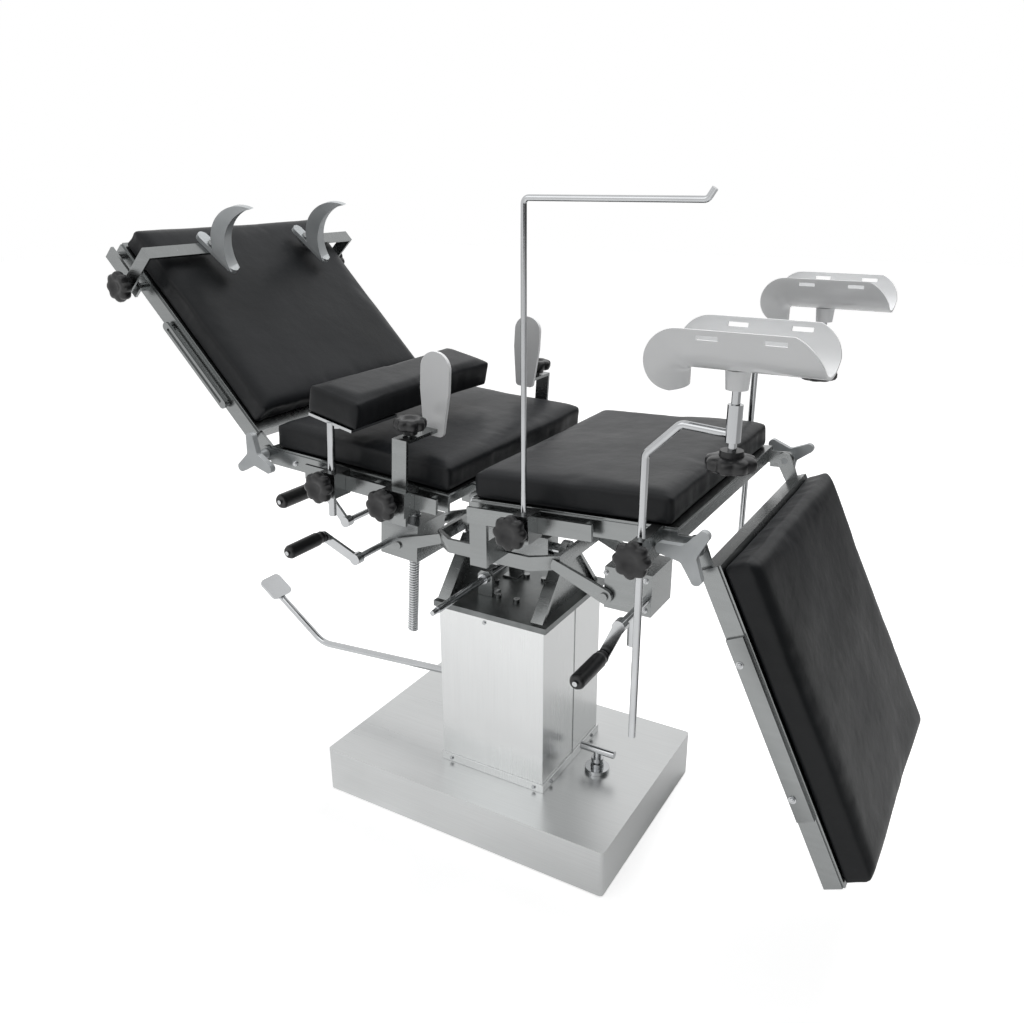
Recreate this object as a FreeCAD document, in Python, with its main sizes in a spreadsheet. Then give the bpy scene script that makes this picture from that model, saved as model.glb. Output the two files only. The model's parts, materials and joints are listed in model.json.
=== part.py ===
import FreeCAD, Part
import math
import os
import re
import Sketcher
from FreeCAD import Vector, Rotation, Placement

# Operating table with a hydraulic column and four padded sections: back, lumbar, seat and leg.
# Millimetres. +X runs to the foot end, -Y is the side with the cranks, +Z is up.
# The origin is the centre of the base where it stands on the floor.

os.makedirs("parts", exist_ok=True)
doc = FreeCAD.newDocument("operating_table")

SIZES = {
    # base
    "base_length": 664, "base_width": 455, "base_top": 104, "base_wall": 3, "base_corner": 8,
    "base_lift_off": 3, "foot_radius": 22, "foot_height": 9, "foot_inset": 60, "chassis_thickness": 14,
    "chassis_gap": 3,
    # column
    "column_x": 28, "column_length": 240, "column_width": 252, "column_top": 467, "column_wall": 3,
    "collar_height": 18, "collar_wall": 4, "sleeve_gap": 3, "sleeve_wall": 3, "sleeve_bottom": 132,
    "barrel_radius": 45, "barrel_top": 430, "ram_radius": 30, "ram_clearance": 0.1, "ram_bottom": 70,
    # top plate and trunnion plates
    "plate_length": 256, "plate_width": 268, "plate_bottom": 468, "plate_thickness": 12,
    "trunnion_head_x": -85, "trunnion_foot_x": 130, "trunnion_thickness": 8, "trunnion_foot_half": 118,
    "flange_width": 26, "flange_thickness": 6, "axle_height": 586, "axle_radius": 12, "axle_boss": 22,
    "running_clearance": 0.08, "ram_flange_radius": 62, "bolt_radius": 7, "bolt_height": 7,
    # lateral tilt worm shaft
    "worm_x": -20, "worm_height": "axle_height - 66", "worm_radius": 7, "worm_reach": 250,
    "worm_back": 72, "sector_tip": 58, "sector_thickness": 16, "bracket_y": 58, "bracket_thickness": 8,
    # pedal
    "pedal_pivot_x": -48, "pedal_pivot_height": 240, "pedal_radius": 8, "pedal_bend_x": -536,
    "pedal_bend_height": 203, "pedal_end_x": -672, "pedal_end_height": 306, "pedal_plate_side": 62,
    "pedal_plate_thickness": 6, "pedal_hub": 14, "pump_half_width": 24,
    # brake handle
    "brake_x": "base_length/2 - 121", "brake_flange_radius": 26, "brake_flange_height": 9,
    "brake_stem_radius": 8, "brake_height": 152, "brake_bar_half": 38, "brake_bar_radius": 8,
    # tilt frame
    "band_bottom": "axle_height - 1", "band_height": 28, "band_thickness": 8, "band_half_width": 120,
    "band_head_x": -118, "band_foot_x": 160, "band_chamfer_x": 48, "band_chamfer_y": 34, "arm_y": 92,
    "arm_thickness": 8, "arm_width": 30, "outrigger_width": 30, "outrigger_height": 27, "hanger_y": 200,
    "hanger_thickness": 8, "hanger_width": 36, "hub_half_width": 22, "hub_head_x": -40,
    "hub_foot_x": 100, "hub_bottom": "axle_height - 20", "pivot_x": 54,
    "pivot_height": "axle_height + 154", "pivot_radius": 10,
    # screw jacks
    "jack_head_x": -212, "jack_head_z": "axle_height - 23", "jack_foot_x": 256,
    "jack_foot_z": "axle_height - 30", "gearbox_near": 86, "gearbox_depth": 98, "gearbox_length": 93,
    "gearbox_height": 82, "head_jack_lean": 4.3, "head_screw_tip": -226, "head_screw_eye": 188.8,
    "foot_screw_tip": -116, "foot_screw_eye": 190.5, "jack_slot_slide": 8.5, "trunnion_pin": 8,
    "screw_radius": 11.5, "screw_y": -37, "eye_radius": 13, "eye_width": 24, "eye_pin": 6,
    "foot_screw_offset": 37,
    # cranks
    "crank_shaft": 7, "crank_arm_thickness": 7, "crank_arm_width": 20, "crank_head_x": -251,
    "crank_head_z": "axle_height - 29", "crank_head_hub_y": -182, "crank_head_reach": 88,
    "crank_foot_x": 335, "crank_foot_z": "axle_height - 22", "crank_foot_hub_y": -199,
    "crank_foot_reach": 68, "crank_back_hub_y": -52, "crank_back_reach": 98, "grip_radius": 14,
    "grip_bolt": 4.5, "grip_head_length": 100, "grip_foot_length": 105, "grip_back_length": 122,
    "grip_back_radius": 16,
    # back drive: pinion and toothed sector
    "gear_module": 4, "pinion_teeth": 8, "gear_ratio": 12, "gear_y": 130, "gear_width": 12,
    "gear_backlash": 0.9,
    # sections
    "table_half_width": 260, "bar_thickness": 6, "bar_top": 20, "bar_bottom": -10, "board_thickness": 4,
    "pad_thickness": 47.4, "pad_gap": 0.3, "board_inset": 6, "seat_tilt": 2.7, "lumbar_tilt": 3.7,
    "back_angle": 42.8, "leg_angle": 67, "seat_near": 22, "seat_far": 390, "leg_hinge_x": 422,
    "leg_hinge_z": -2, "lumbar_near": 22, "lumbar_far": 433, "back_hinge_x": 450, "back_hinge_z": 8,
    "back_pad_start": 41, "back_pad_end": 512, "back_cushion_start": 52.5, "lumbar_cushion_end": 431,
    "back_raise": -7, "leg_pad_start": 37, "leg_pad_end": 586, "leg_raise": 3, "hinge_lug_radius": 16,
    "hinge_pin": 6, "pivot_lug_radius": 18, "seat_lug_y": 188, "lumbar_lug_y": 176, "lug_thickness": 8,
    # accessory rails
    "rail_inner": "table_half_width + 17", "rail_thickness": 6, "rail_height": 28, "rail_z": 4,
    "seat_rail_start": 30, "seat_rail_end": 262, "lumbar_rail_start": 34, "lumbar_rail_end": 330,
    "back_tube_radius": 8, "back_rail_start": 120, "back_rail_end": 330, "head_rail_start": 405,
    # clamp levers and knobs
    "lever_reach": 40, "lever_hub": 16, "lever_tip": 9, "lever_thickness": 12,
    "lever_y": "rail_inner + 7", "knob_radius": 29, "knob_thickness": 20, "knob_stud": 5,
    # rail clamps
    "clamp_wrap": 23, "clamp_grip": 0.3, "clamp_lip": 7.5, "clamp_depth": 30,
    "post_y": "rail_inner + 23", "leg_clamp_half": 9,
    # supports
    "arm_post_x": 250, "arm_post_radius": 7, "arm_post_low": -58, "arm_post_top": 116,
    "arm_pad_width": 114, "arm_pad_thickness": 52, "arm_pad_length": 440, "arm_pad_start": 305,
    "arm_pad_tilt": 8.3, "side_post_x": 98, "side_post_far_x": 150, "side_post_width": 30,
    "side_post_thickness": 6, "side_post_low": -38, "side_post_top": 118, "side_arm_reach": 96,
    "paddle_width": 60, "paddle_height": 150, "paddle_thickness": 7, "screen_x": 204,
    "screen_radius": 4.5, "screen_low": "axle_height + 156", "screen_top": "axle_height + 666",
    "screen_end": 474, "leg_rod_x": 416, "leg_rod_far_x": 381, "leg_rod_radius": 6,
    "leg_rod_low": "axle_height - 141", "leg_post_y": "rail_inner + 48",
    "leg_rod_bend": "axle_height + 326", "leg_rod_high": "axle_height + 376", "leg_rod_corner": 50,
    "leg_sleeve_x": 123, "sleeve_radius": 10.5, "sleeve_low": "axle_height + 361",
    "sleeve_top": "axle_height + 412", "stem_radius": 6, "stem_top": "axle_height + 456",
    "trough_start": 60, "trough_end": 118, "trough_half_width": 68, "trough_depth": 59,
    "trough_wall": 4, "trough_rim": "axle_height + 516", "trough_inner_bend": 8, "trough_drop": 20,
    "trough_curl": 45.2, "trough_slot_length": 28, "trough_slot_height": 6, "boss_radius": 17,
    "boss_low": "axle_height + 432", "leg_block_front": 15,
    # shoulder supports
    "strap_s": 424, "strap_width": 26, "strap_thickness": 5, "strap_y": "rail_inner + 13",
    "strap_over": 90, "horn_y": 138, "horn_base_length": 105, "horn_base_width": 26,
    "horn_base_thickness": 9, "horn_width": 32, "horn_pin": 5, "horn_turn": 14, "horn_pin_offset": 18,
}

dims = doc.addObject("Spreadsheet::Sheet", "dims")
for row, (word, size) in enumerate(SIZES.items(), start=1):
    dims.set("A%d" % row, word)
    dims.setAlias("B%d" % row, word)
    if not isinstance(size, str):
        dims.set("B%d" % row, str(size))
for row, size in enumerate(SIZES.values(), start=1):
    if isinstance(size, str):
        dims.set("B%d" % row, "=" + size)
doc.recompute()


class Sizes:
    """Reads a size from the sheet by its word."""

    def __getattr__(self, word):
        return float(dims.get(word))


d = Sizes()
nodes = []


def linked(text):
    """Puts the sheet's name before every size in an expression."""
    return re.sub(r"[a-z][a-z_]*", lambda found: "dims." + found.group() if found.group() in SIZES
                  else found.group(), text)


def number(value):
    """A plain number from a number or from an expression of sizes."""
    if isinstance(value, str):
        return float(dims.evalExpression(linked(value)))
    return float(value)


def bind(feature, prop, value):
    """Sets a property, through the sheet where the value is an expression."""
    if isinstance(value, str):
        feature.setExpression(prop, linked(value))
    else:
        *path, last = prop.split(".")
        if path:
            placement = Placement(feature.Placement)
            setattr(placement.Base, last, value)
            feature.Placement = placement
        else:
            setattr(feature, last, value)


def block(name, xs, ys, zs):
    """A box between two expressions along each axis."""
    box = doc.addObject("Part::Box", name)
    for prop, axis, (low, high) in (("Length", "x", xs), ("Width", "y", ys), ("Height", "z", zs)):
        bind(box, prop, "(%s) - (%s)" % (high, low))
        bind(box, "Placement.Base." + axis, "%s" % low)
    return box


TURNS = {"Z": Rotation(), "X": Rotation(Vector(0, 1, 0), 90), "Y": Rotation(Vector(1, 0, 0), -90)}


def rod(name, radius, start, length, axis="Z"):
    """A cylinder from a start point along one axis."""
    cylinder = doc.addObject("Part::Cylinder", name)
    cylinder.Placement = Placement(Vector(), TURNS[axis])
    bind(cylinder, "Radius", "%s" % radius)
    bind(cylinder, "Height", "%s" % length)
    for letter, value in zip("xyz", start):
        bind(cylinder, "Placement.Base." + letter, "%s" % value)
    return cylinder


def fuse(name, *parts):
    result = doc.addObject("Part::MultiFuse", name)
    result.Shapes = list(parts)
    result.Refine = True
    return result


def cut(name, base, *tools):
    result = doc.addObject("Part::Cut", name)
    result.Base = base
    result.Tool = tools[0] if len(tools) == 1 else fuse(name + "_tools", *tools)
    result.Refine = True
    return result


def group(name, *parts):
    result = doc.addObject("Part::Compound", name)
    result.Links = list(parts)
    return result


def placed(feature, placement):
    """Wraps a feature, so that it keeps its own sizes and takes a placement as well."""
    moved = group(feature.Name + "_placed", feature)
    moved.Placement = placement
    return moved


def body_with_sketch(name, plane, offset):
    """A body and a sketch that lies on one of the body's own origin planes."""
    body = doc.addObject("PartDesign::Body", name)
    sketch = body.newObject("Sketcher::SketchObject", name + "_outline")
    support = [f for f in body.Origin.OriginFeatures if f.Role == plane + "_Plane"][0]
    sketch.AttachmentSupport = [(support, "")]
    sketch.MapMode = "FlatFace"
    if isinstance(offset, str):
        bind(sketch, "AttachmentOffset.Base.z", offset)
    return body, sketch


def draw(sketch, outline, circles=(), rounding=0.0):
    """Draws a closed outline held by its corner sizes, or rounded by arcs, and circles in it."""
    corners = [(number(x), number(y)) for x, y in outline]
    count = len(corners)
    if rounding:
        for edge in rounded_edges(corners, rounding):
            sketch.addGeometry(edge, False)
    else:
        first = sketch.GeometryCount
        for index, corner in enumerate(corners):
            following = corners[(index + 1) % count]
            sketch.addGeometry(Part.LineSegment(Vector(*corner, 0), Vector(*following, 0)), False)
        for index in range(count):
            sketch.addConstraint(Sketcher.Constraint("Coincident", first + index, 2,
                                                     first + (index + 1) % count, 1))
        for index, corner in enumerate(corners):
            for kind, place, value in (("DistanceX", corner[0], outline[index][0]),
                                       ("DistanceY", corner[1], outline[index][1])):
                held = sketch.addConstraint(Sketcher.Constraint(kind, -1, 1, first + index, 1, place))
                if isinstance(value, str):
                    sketch.setExpression("Constraints[%d]" % held, linked(value))
    for x, y, radius in circles:
        circle = Part.Circle(Vector(number(x), number(y), 0), Vector(0, 0, 1), number(radius))
        sketch.addGeometry(circle, False)


def rounded_edges(corners, rounding):
    """Lines and arcs of a closed outline; rounding is one radius or one for each corner."""
    count = len(corners)
    radii = [float(rounding)] * count if isinstance(rounding, (int, float)) else list(rounding)
    starts, ends, middles = [], [], []
    for index, corner in enumerate(corners):
        here = Vector(*corner, 0)
        before = (Vector(*corners[index - 1], 0) - here).normalize()
        after = (Vector(*corners[(index + 1) % count], 0) - here).normalize()
        half = before.getAngle(after) / 2
        if radii[index] < 0.01:
            starts.append(here)
            ends.append(here)
            middles.append(None)
            continue
        reach = radii[index] / math.tan(half)
        for neighbour in (index - 1, (index + 1) % count):
            share = 0.4999 if radii[neighbour] > 0.01 else 1.0
            reach = min(reach, share * (Vector(*corners[neighbour], 0) - here).Length)
        radius = reach * math.tan(half)
        centre = here + (before + after).normalize() * (radius / math.sin(half))
        starts.append(here + before * reach)
        ends.append(here + after * reach)
        middles.append(centre + (here - centre).normalize() * radius)
    edges = []
    for index in range(count):
        if middles[index] is not None:
            edges.append(Part.Arc(starts[index], middles[index], ends[index]))
        following = (index + 1) % count
        if (starts[following] - ends[index]).Length > 0.001:
            edges.append(Part.LineSegment(ends[index], starts[following]))
    return edges


def plate(name, plane, span, outline, circles=(), rounding=0.0):
    """An outline pressed out between two expressions along the normal of its plane."""
    low, high = span
    offset = "-(%s)" % high if plane == "XZ" else "%s" % low
    body, sketch = body_with_sketch(name, plane, offset)
    draw(sketch, outline, circles, rounding)
    pad = body.newObject("PartDesign::Pad", name + "_pad")
    pad.Profile = sketch
    bind(pad, "Length", "(%s) - (%s)" % (high, low))
    return body


def turned(name, outline, plane="XZ"):
    """An outline turned about the upright axis of its plane."""
    body, sketch = body_with_sketch(name, plane, 0)
    draw(sketch, outline)
    revolution = body.newObject("PartDesign::Revolution", name + "_turn")
    revolution.Profile = sketch
    revolution.ReferenceAxis = (sketch, ["V_Axis"])
    revolution.Angle = 360
    return body


def node(feature, label, placement=None):
    """Names a finished sub-part and puts its section's placement before its own."""
    feature.Label = label
    if placement is not None:
        feature.Placement = placement.multiply(feature.Placement)
    nodes.append(feature)
    return feature


def about_y(angle):
    return Rotation(Vector(0, 1, 0), angle)


def bent_wire(points, radius):
    """A path of straight runs joined by tangent arcs."""
    edges = []
    start = points[0]
    for before, corner, after in zip(points, points[1:], points[2:]):
        towards = (before - corner).normalize()
        away = (after - corner).normalize()
        half = towards.getAngle(away) / 2
        reach = radius / math.tan(half)
        centre = corner + (towards + away).normalize() * (radius / math.sin(half))
        enter, leave = corner + towards * reach, corner + away * reach
        middle = centre + (corner - centre).normalize() * radius
        edges.append(Part.LineSegment(start, enter).toShape())
        edges.append(Part.Arc(enter, middle, leave).toShape())
        start = leave
    edges.append(Part.LineSegment(start, points[-1]).toShape())
    return Part.Wire(edges)


def bent_rod(name, radius, points, bend):
    """A round rod along a bent path."""
    path = bent_wire([Vector(*(number(v) for v in point)) for point in points], number(bend))
    along = path.Edges[0].tangentAt(path.Edges[0].FirstParameter)
    ring = Part.Wire([Part.makeCircle(number(radius), path.Vertexes[0].Point, along)])
    feature = doc.addObject("Part::Feature", name)
    feature.Shape = path.makePipeShell([ring], True, True)
    return feature


# Placements of the five sections, each drawn flat with its hinge at the origin.
PIVOT = Vector(d.pivot_x, 0, d.pivot_height)
SEAT = Placement(PIVOT, about_y(-d.seat_tilt))
LUMBAR = Placement(PIVOT, about_y(d.lumbar_tilt))
BACK = LUMBAR.multiply(Placement(Vector(-d.back_hinge_x, 0, d.back_hinge_z), about_y(d.back_angle)))
LEG = SEAT.multiply(Placement(Vector(d.leg_hinge_x, 0, d.leg_hinge_z), about_y(d.leg_angle)))

# Base: a folded cover over a thick chassis plate on four screwed feet.
outer = plate("base_outer", "XY", ("base_lift_off", "base_top"),
              [("-base_length/2", "-base_width/2"), ("base_length/2", "-base_width/2"),
               ("base_length/2", "base_width/2"), ("-base_length/2", "base_width/2")],
              rounding=d.base_corner)
inner = block("base_inner", ("-base_length/2 + base_wall", "base_length/2 - base_wall"),
              ("-base_width/2 + base_wall", "base_width/2 - base_wall"),
              ("base_lift_off - 1", "base_top - base_wall"))
column_hole = block("base_column_hole", ("column_x - column_length/2 + column_wall",
                                         "column_x + column_length/2 - column_wall"),
                    ("-column_width/2 + column_wall", "column_width/2 - column_wall"),
                    ("base_top - base_wall - 1", "base_top + 1"))
brake_hole = rod("base_brake_hole", "brake_stem_radius + running_clearance",
                 ("brake_x", 0, "base_top - base_wall - 1"), "base_wall + 2")
node(cut("base_cover", outer, inner, column_hole, brake_hole), "base_cover")

chassis = block("chassis_plate", ("-base_length/2 + base_wall + chassis_gap",
                                  "base_length/2 - base_wall - chassis_gap"),
                ("-base_width/2 + base_wall + chassis_gap", "base_width/2 - base_wall - chassis_gap"),
                ("foot_height", "foot_height + chassis_thickness"))
posts = [rod("chassis_post_%d" % i, 12, ("%d * (base_length/2 - foot_inset)" % sx,
                                         "%d * (base_width/2 - foot_inset)" % sy,
                                         "foot_height + chassis_thickness - 0.5"),
             "base_top - base_wall - foot_height - chassis_thickness + 0.5")
         for i, (sx, sy) in enumerate([(-1, -1), (1, -1), (1, 1), (-1, 1)])]
node(fuse("base_chassis", chassis, *posts), "base_chassis")

feet = [rod("foot_%d" % i, "foot_radius", ("%d * (base_length/2 - foot_inset)" % sx,
                                           "%d * (base_width/2 - foot_inset)" % sy, 0), "foot_height")
        for i, (sx, sy) in enumerate([(-1, -1), (1, -1), (1, 1), (-1, 1)])]
node(group("base_feet", *feet), "base_feet")

# Column: fixed outer cover and collar, hydraulic barrel and pump, and the rising inner sleeve.
cover = block("column_outer", ("column_x - column_length/2", "column_x + column_length/2"),
              ("-column_width/2", "column_width/2"), ("base_top", "column_top"))
hollow = block("column_hollow", ("column_x - column_length/2 + column_wall",
                                 "column_x + column_length/2 - column_wall"),
               ("-column_width/2 + column_wall", "column_width/2 - column_wall"),
               ("base_top - 1", "column_top + 1"))
pedal_slot = block("column_pedal_slot", ("column_x - column_length/2 - 1",
                                         "column_x - column_length/2 + column_wall + 1"),
                   ("-pedal_radius - 3", "pedal_radius + 3"),
                   ("pedal_pivot_height - 36", "pedal_pivot_height + 14"))
column_shell = cut("column_shell", cover, hollow, pedal_slot)

collar = cut("column_collar",
             block("collar_outer", ("column_x - column_length/2 - collar_wall",
                                    "column_x + column_length/2 + collar_wall"),
                   ("-column_width/2 - collar_wall", "column_width/2 + collar_wall"),
                   ("base_top", "base_top + collar_height")),
             block("collar_inner", ("column_x - column_length/2", "column_x + column_length/2"),
                   ("-column_width/2", "column_width/2"),
                   ("base_top - 1", "base_top + collar_height + 1")))
node(group("column_cover", column_shell, collar), "column_cover")

barrel = cut("hydraulic_barrel",
             rod("barrel_outer", "barrel_radius", ("column_x", 0, "foot_height + chassis_thickness"),
                 "barrel_top - foot_height - chassis_thickness"),
             rod("barrel_bore", "ram_radius", ("column_x", 0, "ram_bottom - 12"),
                 "barrel_top - ram_bottom + 20"))

ram_body = rod("ram_rod", "ram_radius - ram_clearance", ("column_x", 0, "ram_bottom"),
               "plate_bottom - ram_bottom")
node(ram_body, "lift_ram")

pump_body = block("pump_body", ("pedal_pivot_x - 22", "column_x - barrel_radius - 1"),
                  ("-pump_half_width", "pump_half_width"),
                  ("foot_height + chassis_thickness", "pedal_pivot_height - 20"))
pump_ears = [block("pump_ear_%d" % i, ("pedal_pivot_x - 14", "pedal_pivot_x + 14"),
                   (low, high), ("pedal_pivot_height - 21", "pedal_pivot_height + 16"))
             for i, (low, high) in enumerate([("-pump_half_width", "-pump_half_width + 8"),
                                              ("pump_half_width - 8", "pump_half_width")])]
pump_pin = rod("pump_pin", 6, ("pedal_pivot_x", "-pump_half_width", "pedal_pivot_height"),
               "2 * pump_half_width", "Y")
node(group("hydraulic_pump", barrel, fuse("pump_block", pump_body, pump_pin, *pump_ears)), "hydraulic_pump")

sleeve = cut("inner_sleeve",
             block("sleeve_outer", ("column_x - column_length/2 + column_wall + sleeve_gap",
                                    "column_x + column_length/2 - column_wall - sleeve_gap"),
                   ("-column_width/2 + column_wall + sleeve_gap",
                    "column_width/2 - column_wall - sleeve_gap"),
                   ("sleeve_bottom", "plate_bottom")),
             block("sleeve_inner", ("column_x - column_length/2 + column_wall + sleeve_gap + sleeve_wall",
                                    "column_x + column_length/2 - column_wall - sleeve_gap - sleeve_wall"),
                   ("-column_width/2 + column_wall + sleeve_gap + sleeve_wall",
                    "column_width/2 - column_wall - sleeve_gap - sleeve_wall"),
                   ("sleeve_bottom - 1", "plate_bottom + 1")),
             block("sleeve_slot", ("column_x - column_length/2", "column_x - column_length/2 + 16"),
                   ("-pedal_radius - 5", "pedal_radius + 5"),
                   ("sleeve_bottom - 1", "pedal_pivot_height + 18")))
node(sleeve, "inner_sleeve")

# Pump pedal: a bent rod on a hub in the pump's fork, with a square foot plate.
hub = rod("pedal_hub_barrel", "pedal_hub", ("pedal_pivot_x", "-pump_half_width + 8.5",
                                            "pedal_pivot_height"), "2 * pump_half_width - 17", "Y")
hub_bore = rod("pedal_hub_bore", "6 + running_clearance",
               ("pedal_pivot_x", "-pump_half_width", "pedal_pivot_height"),
               "2 * pump_half_width", "Y")
lever = bent_rod("pedal_rod", "pedal_radius",
                 [("pedal_pivot_x - 8", 0, "pedal_pivot_height"),
                  ("pedal_bend_x", 0, "pedal_bend_height"),
                  ("pedal_end_x", 0, "pedal_end_height")], 60)
pedal_lever = cut("pedal_lever", fuse("pedal_fused", hub, lever), hub_bore)
half = "pedal_plate_side/2"
foot_plate = plate("pedal_plate_body", "XY", ("0", "pedal_plate_thickness"),
                   [("-" + half, "-" + half), (half, "-" + half), (half, half), ("-" + half, half)],
                   rounding=12)
slope = math.degrees(math.atan2(d.pedal_end_height - d.pedal_bend_height,
                                d.pedal_bend_x - d.pedal_end_x))
lift_off = Vector(math.sin(math.radians(slope)), 0, math.cos(math.radians(slope)))
outward = Vector(-math.cos(math.radians(slope)), 0, math.sin(math.radians(slope)))
foot_plate.Placement = Placement(Vector(d.pedal_end_x, 0, d.pedal_end_height) + outward * 14
                                 + lift_off * (d.pedal_radius - 1.5), about_y(slope))
node(fuse("pump_pedal", pedal_lever, foot_plate), "pump_pedal")

# Floor lock: a T handle on a stem that turns in a flange on the base.
flange = cut("brake_flange",
             fuse("brake_flange_disc", rod("brake_disc", "brake_flange_radius", ("brake_x", 0, "base_top"),
                                           "brake_flange_height"),
                  rod("brake_boss", 14, ("brake_x", 0, "base_top"), "brake_flange_height + 10")),
             rod("brake_bore", "brake_stem_radius + running_clearance",
                 ("brake_x", 0, "base_top - 1"), "brake_flange_height + 20"))
node(flange, "brake_flange")
handle = fuse("brake_handle",
              rod("brake_stem", "brake_stem_radius", ("brake_x", 0, "foot_height + chassis_thickness + 12"),
                  "brake_height - foot_height - chassis_thickness - 12"),
              rod("brake_collar", 13, ("brake_x", 0, "base_top + brake_flange_height + 14"), 8),
              rod("brake_bar", "brake_bar_radius", ("brake_x - brake_bar_half", 0, "brake_height"),
                  "2 * brake_bar_half", "X"))
node(handle, "brake_handle")

# Top plate of the ram with its bolts, and the two sloped trunnion plates that carry the tilt axle.
top_plate = cut("top_plate_drilled",
                block("top_plate_slab", ("column_x - plate_length/2", "column_x + plate_length/2"),
                                   ("-plate_width/2", "plate_width/2"),
                                   ("plate_bottom", "plate_bottom + plate_thickness")),
                *[rod("plate_hole_%d" % i, 3, ("column_x + %d" % x, y, "plate_bottom - 1"), 20)
                  for i, (x, y) in enumerate([(-98, -112), (98, -112), (98, 112), (-98, 112)])])
top = "plate_bottom + plate_thickness"
bolts = []
for i, angle in enumerate((70, 110, 180, 250, 290, 0)):
    x = "column_x + ram_flange_radius * %.5f" % math.cos(math.radians(angle))
    y = "ram_flange_radius * %.5f" % math.sin(math.radians(angle))
    bolts.append(rod("plate_bolt_%d" % i, "bolt_radius", (x, y, top), "bolt_height"))
node(group("top_plate_set", top_plate, *bolts), "top_plate")


def trunnion_plate(name, place):
    """A triangular plate with sloped flange bars, a foot strip and a bearing boss at the apex."""
    web = plate(name + "_web", "YZ", ("%s - trunnion_thickness/2" % place,
                                      "%s + trunnion_thickness/2" % place),
                [("-trunnion_foot_half", top), ("trunnion_foot_half", top),
                 ("axle_boss", "axle_height + 4"), ("-axle_boss", "axle_height + 4")])
    boss = rod(name + "_boss", "axle_boss", ("%s - trunnion_thickness/2 - 3" % place, 0, "axle_height"),
               "trunnion_thickness + 6", "X")
    outer_edge = [("-trunnion_foot_half - 4", top), ("-trunnion_foot_half + flange_thickness + 2", top),
                  ("-axle_boss + flange_thickness/2", "axle_height + 2"),
                  ("-axle_boss - 3", "axle_height + 4")]
    flanges = []
    for side, sign in (("near", 1), ("far", -1)):
        edge = [("%d * (%s)" % (sign, y), z) for y, z in outer_edge]
        flanges.append(plate(name + "_flange_" + side, "YZ",
                             ("%s - flange_width/2" % place, "%s + flange_width/2" % place), edge))
    bore = rod(name + "_bore", "axle_radius + running_clearance", ("%s - 30" % place, 0, "axle_height"),
               60, "X")
    return cut(name, fuse(name + "_welded", web, boss, *flanges), bore)


node(group("trunnion_plates", trunnion_plate("trunnion_head", "trunnion_head_x"),
           trunnion_plate("trunnion_foot", "trunnion_foot_x")), "trunnion_plates")

# Lateral tilt: a worm shaft in two upright ears turns the toothed sector on the tilt axle.
ears = [plate("worm_ear_%s" % side, "XZ", (low, high),
              [("worm_x - 17", top), ("worm_x + 17", top), ("worm_x + 17", "worm_height + 6"),
               ("worm_x + 9", "worm_height + 15"), ("worm_x - 9", "worm_height + 15"),
               ("worm_x - 17", "worm_height + 6")],
              circles=[("worm_x", "worm_height", "worm_radius + running_clearance")])
        for side, low, high in (("near", "-bracket_y - bracket_thickness", "-bracket_y"),
                                ("far", "bracket_y", "bracket_y + bracket_thickness"))]
ear_feet = [block("worm_foot_%s" % side, ("worm_x - 17", "worm_x + 17"), (low, high),
                  (top, top + " + 5"))
            for side, low, high in (("near", "-bracket_y - 0.5", "-bracket_y + 26"),
                                    ("far", "bracket_y - 26", "bracket_y + 0.5"))]
node(group("worm_bracket", fuse("worm_bracket_near", ears[0], ear_feet[0]),
           fuse("worm_bracket_far", ears[1], ear_feet[1])), "worm_bracket")
worm = fuse("worm_shaft", rod("worm_rod", "worm_radius", ("worm_x", "-worm_reach + 16", "worm_height"),
                              "worm_reach - 16 + worm_back", "Y"),
            rod("worm_tip", "worm_radius - 1.8", ("worm_x", "-worm_reach", "worm_height"), 17, "Y"),
            rod("worm_collar", "worm_radius + 4", ("worm_x", "bracket_y + bracket_thickness + 0.3",
                                                   "worm_height"), 8, "Y"),
            rod("worm_stop", "worm_radius + 4", ("worm_x", "-bracket_y - bracket_thickness - 8.3",
                                                 "worm_height"), 8, "Y"))
node(worm, "tilt_worm_shaft")


def sector_teeth(tip, root, pitch, first, last, thickness_share=0.42):
    """Corner points of trapezoid teeth on an arc about the origin, angles measured from straight down."""
    points = []
    angle = first
    while angle < last - pitch / 2:
        low = (1 - thickness_share) / 2
        for share, radius in ((0.0, root), (low - 0.08, root), (low + 0.1, tip),
                              (1 - low - 0.1, tip), (1 - low + 0.08, root)):
            turn = math.radians(angle + share * pitch)
            points.append((-radius * math.sin(turn), -radius * math.cos(turn)))
        angle += pitch
    turn = math.radians(angle)
    points.append((-root * math.sin(turn), -root * math.cos(turn)))
    return points


tilt_teeth = sector_teeth(d.sector_tip, d.sector_tip - 6, 10, -35, 35)
tilt_outline = tilt_teeth + [(-17, -10), (17, -10)]
tilt_sector = plate("tilt_sector", "YZ", ("worm_x - sector_thickness/2", "worm_x + sector_thickness/2"),
                    [(y, z + d.axle_height) for y, z in tilt_outline])
axle = rod("tilt_axle_rod", "axle_radius", ("trunnion_head_x - 16", 0, "axle_height"),
           "trunnion_foot_x - trunnion_head_x + 32", "X")
node(fuse("tilt_axle", axle, tilt_sector), "tilt_axle")

# Tilt frame: an eight-sided flat band with two pairs of arms for the screw jacks.
hx, fx, cx, cy, bw = d.band_head_x, d.band_foot_x, d.band_chamfer_x, d.band_chamfer_y, d.band_half_width


def band_loop(grow):
    corner_y = bw - cy
    inner_cut = grow * math.tan(math.pi / 8)
    return [(hx + cx - inner_cut, -bw - grow), (fx - cx + inner_cut, -bw - grow),
            (fx + grow, -corner_y - inner_cut), (fx + grow, corner_y + inner_cut),
            (fx - cx + inner_cut, bw + grow), (hx + cx - inner_cut, bw + grow),
            (hx - grow, corner_y + inner_cut), (hx - grow, -corner_y - inner_cut)]


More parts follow.
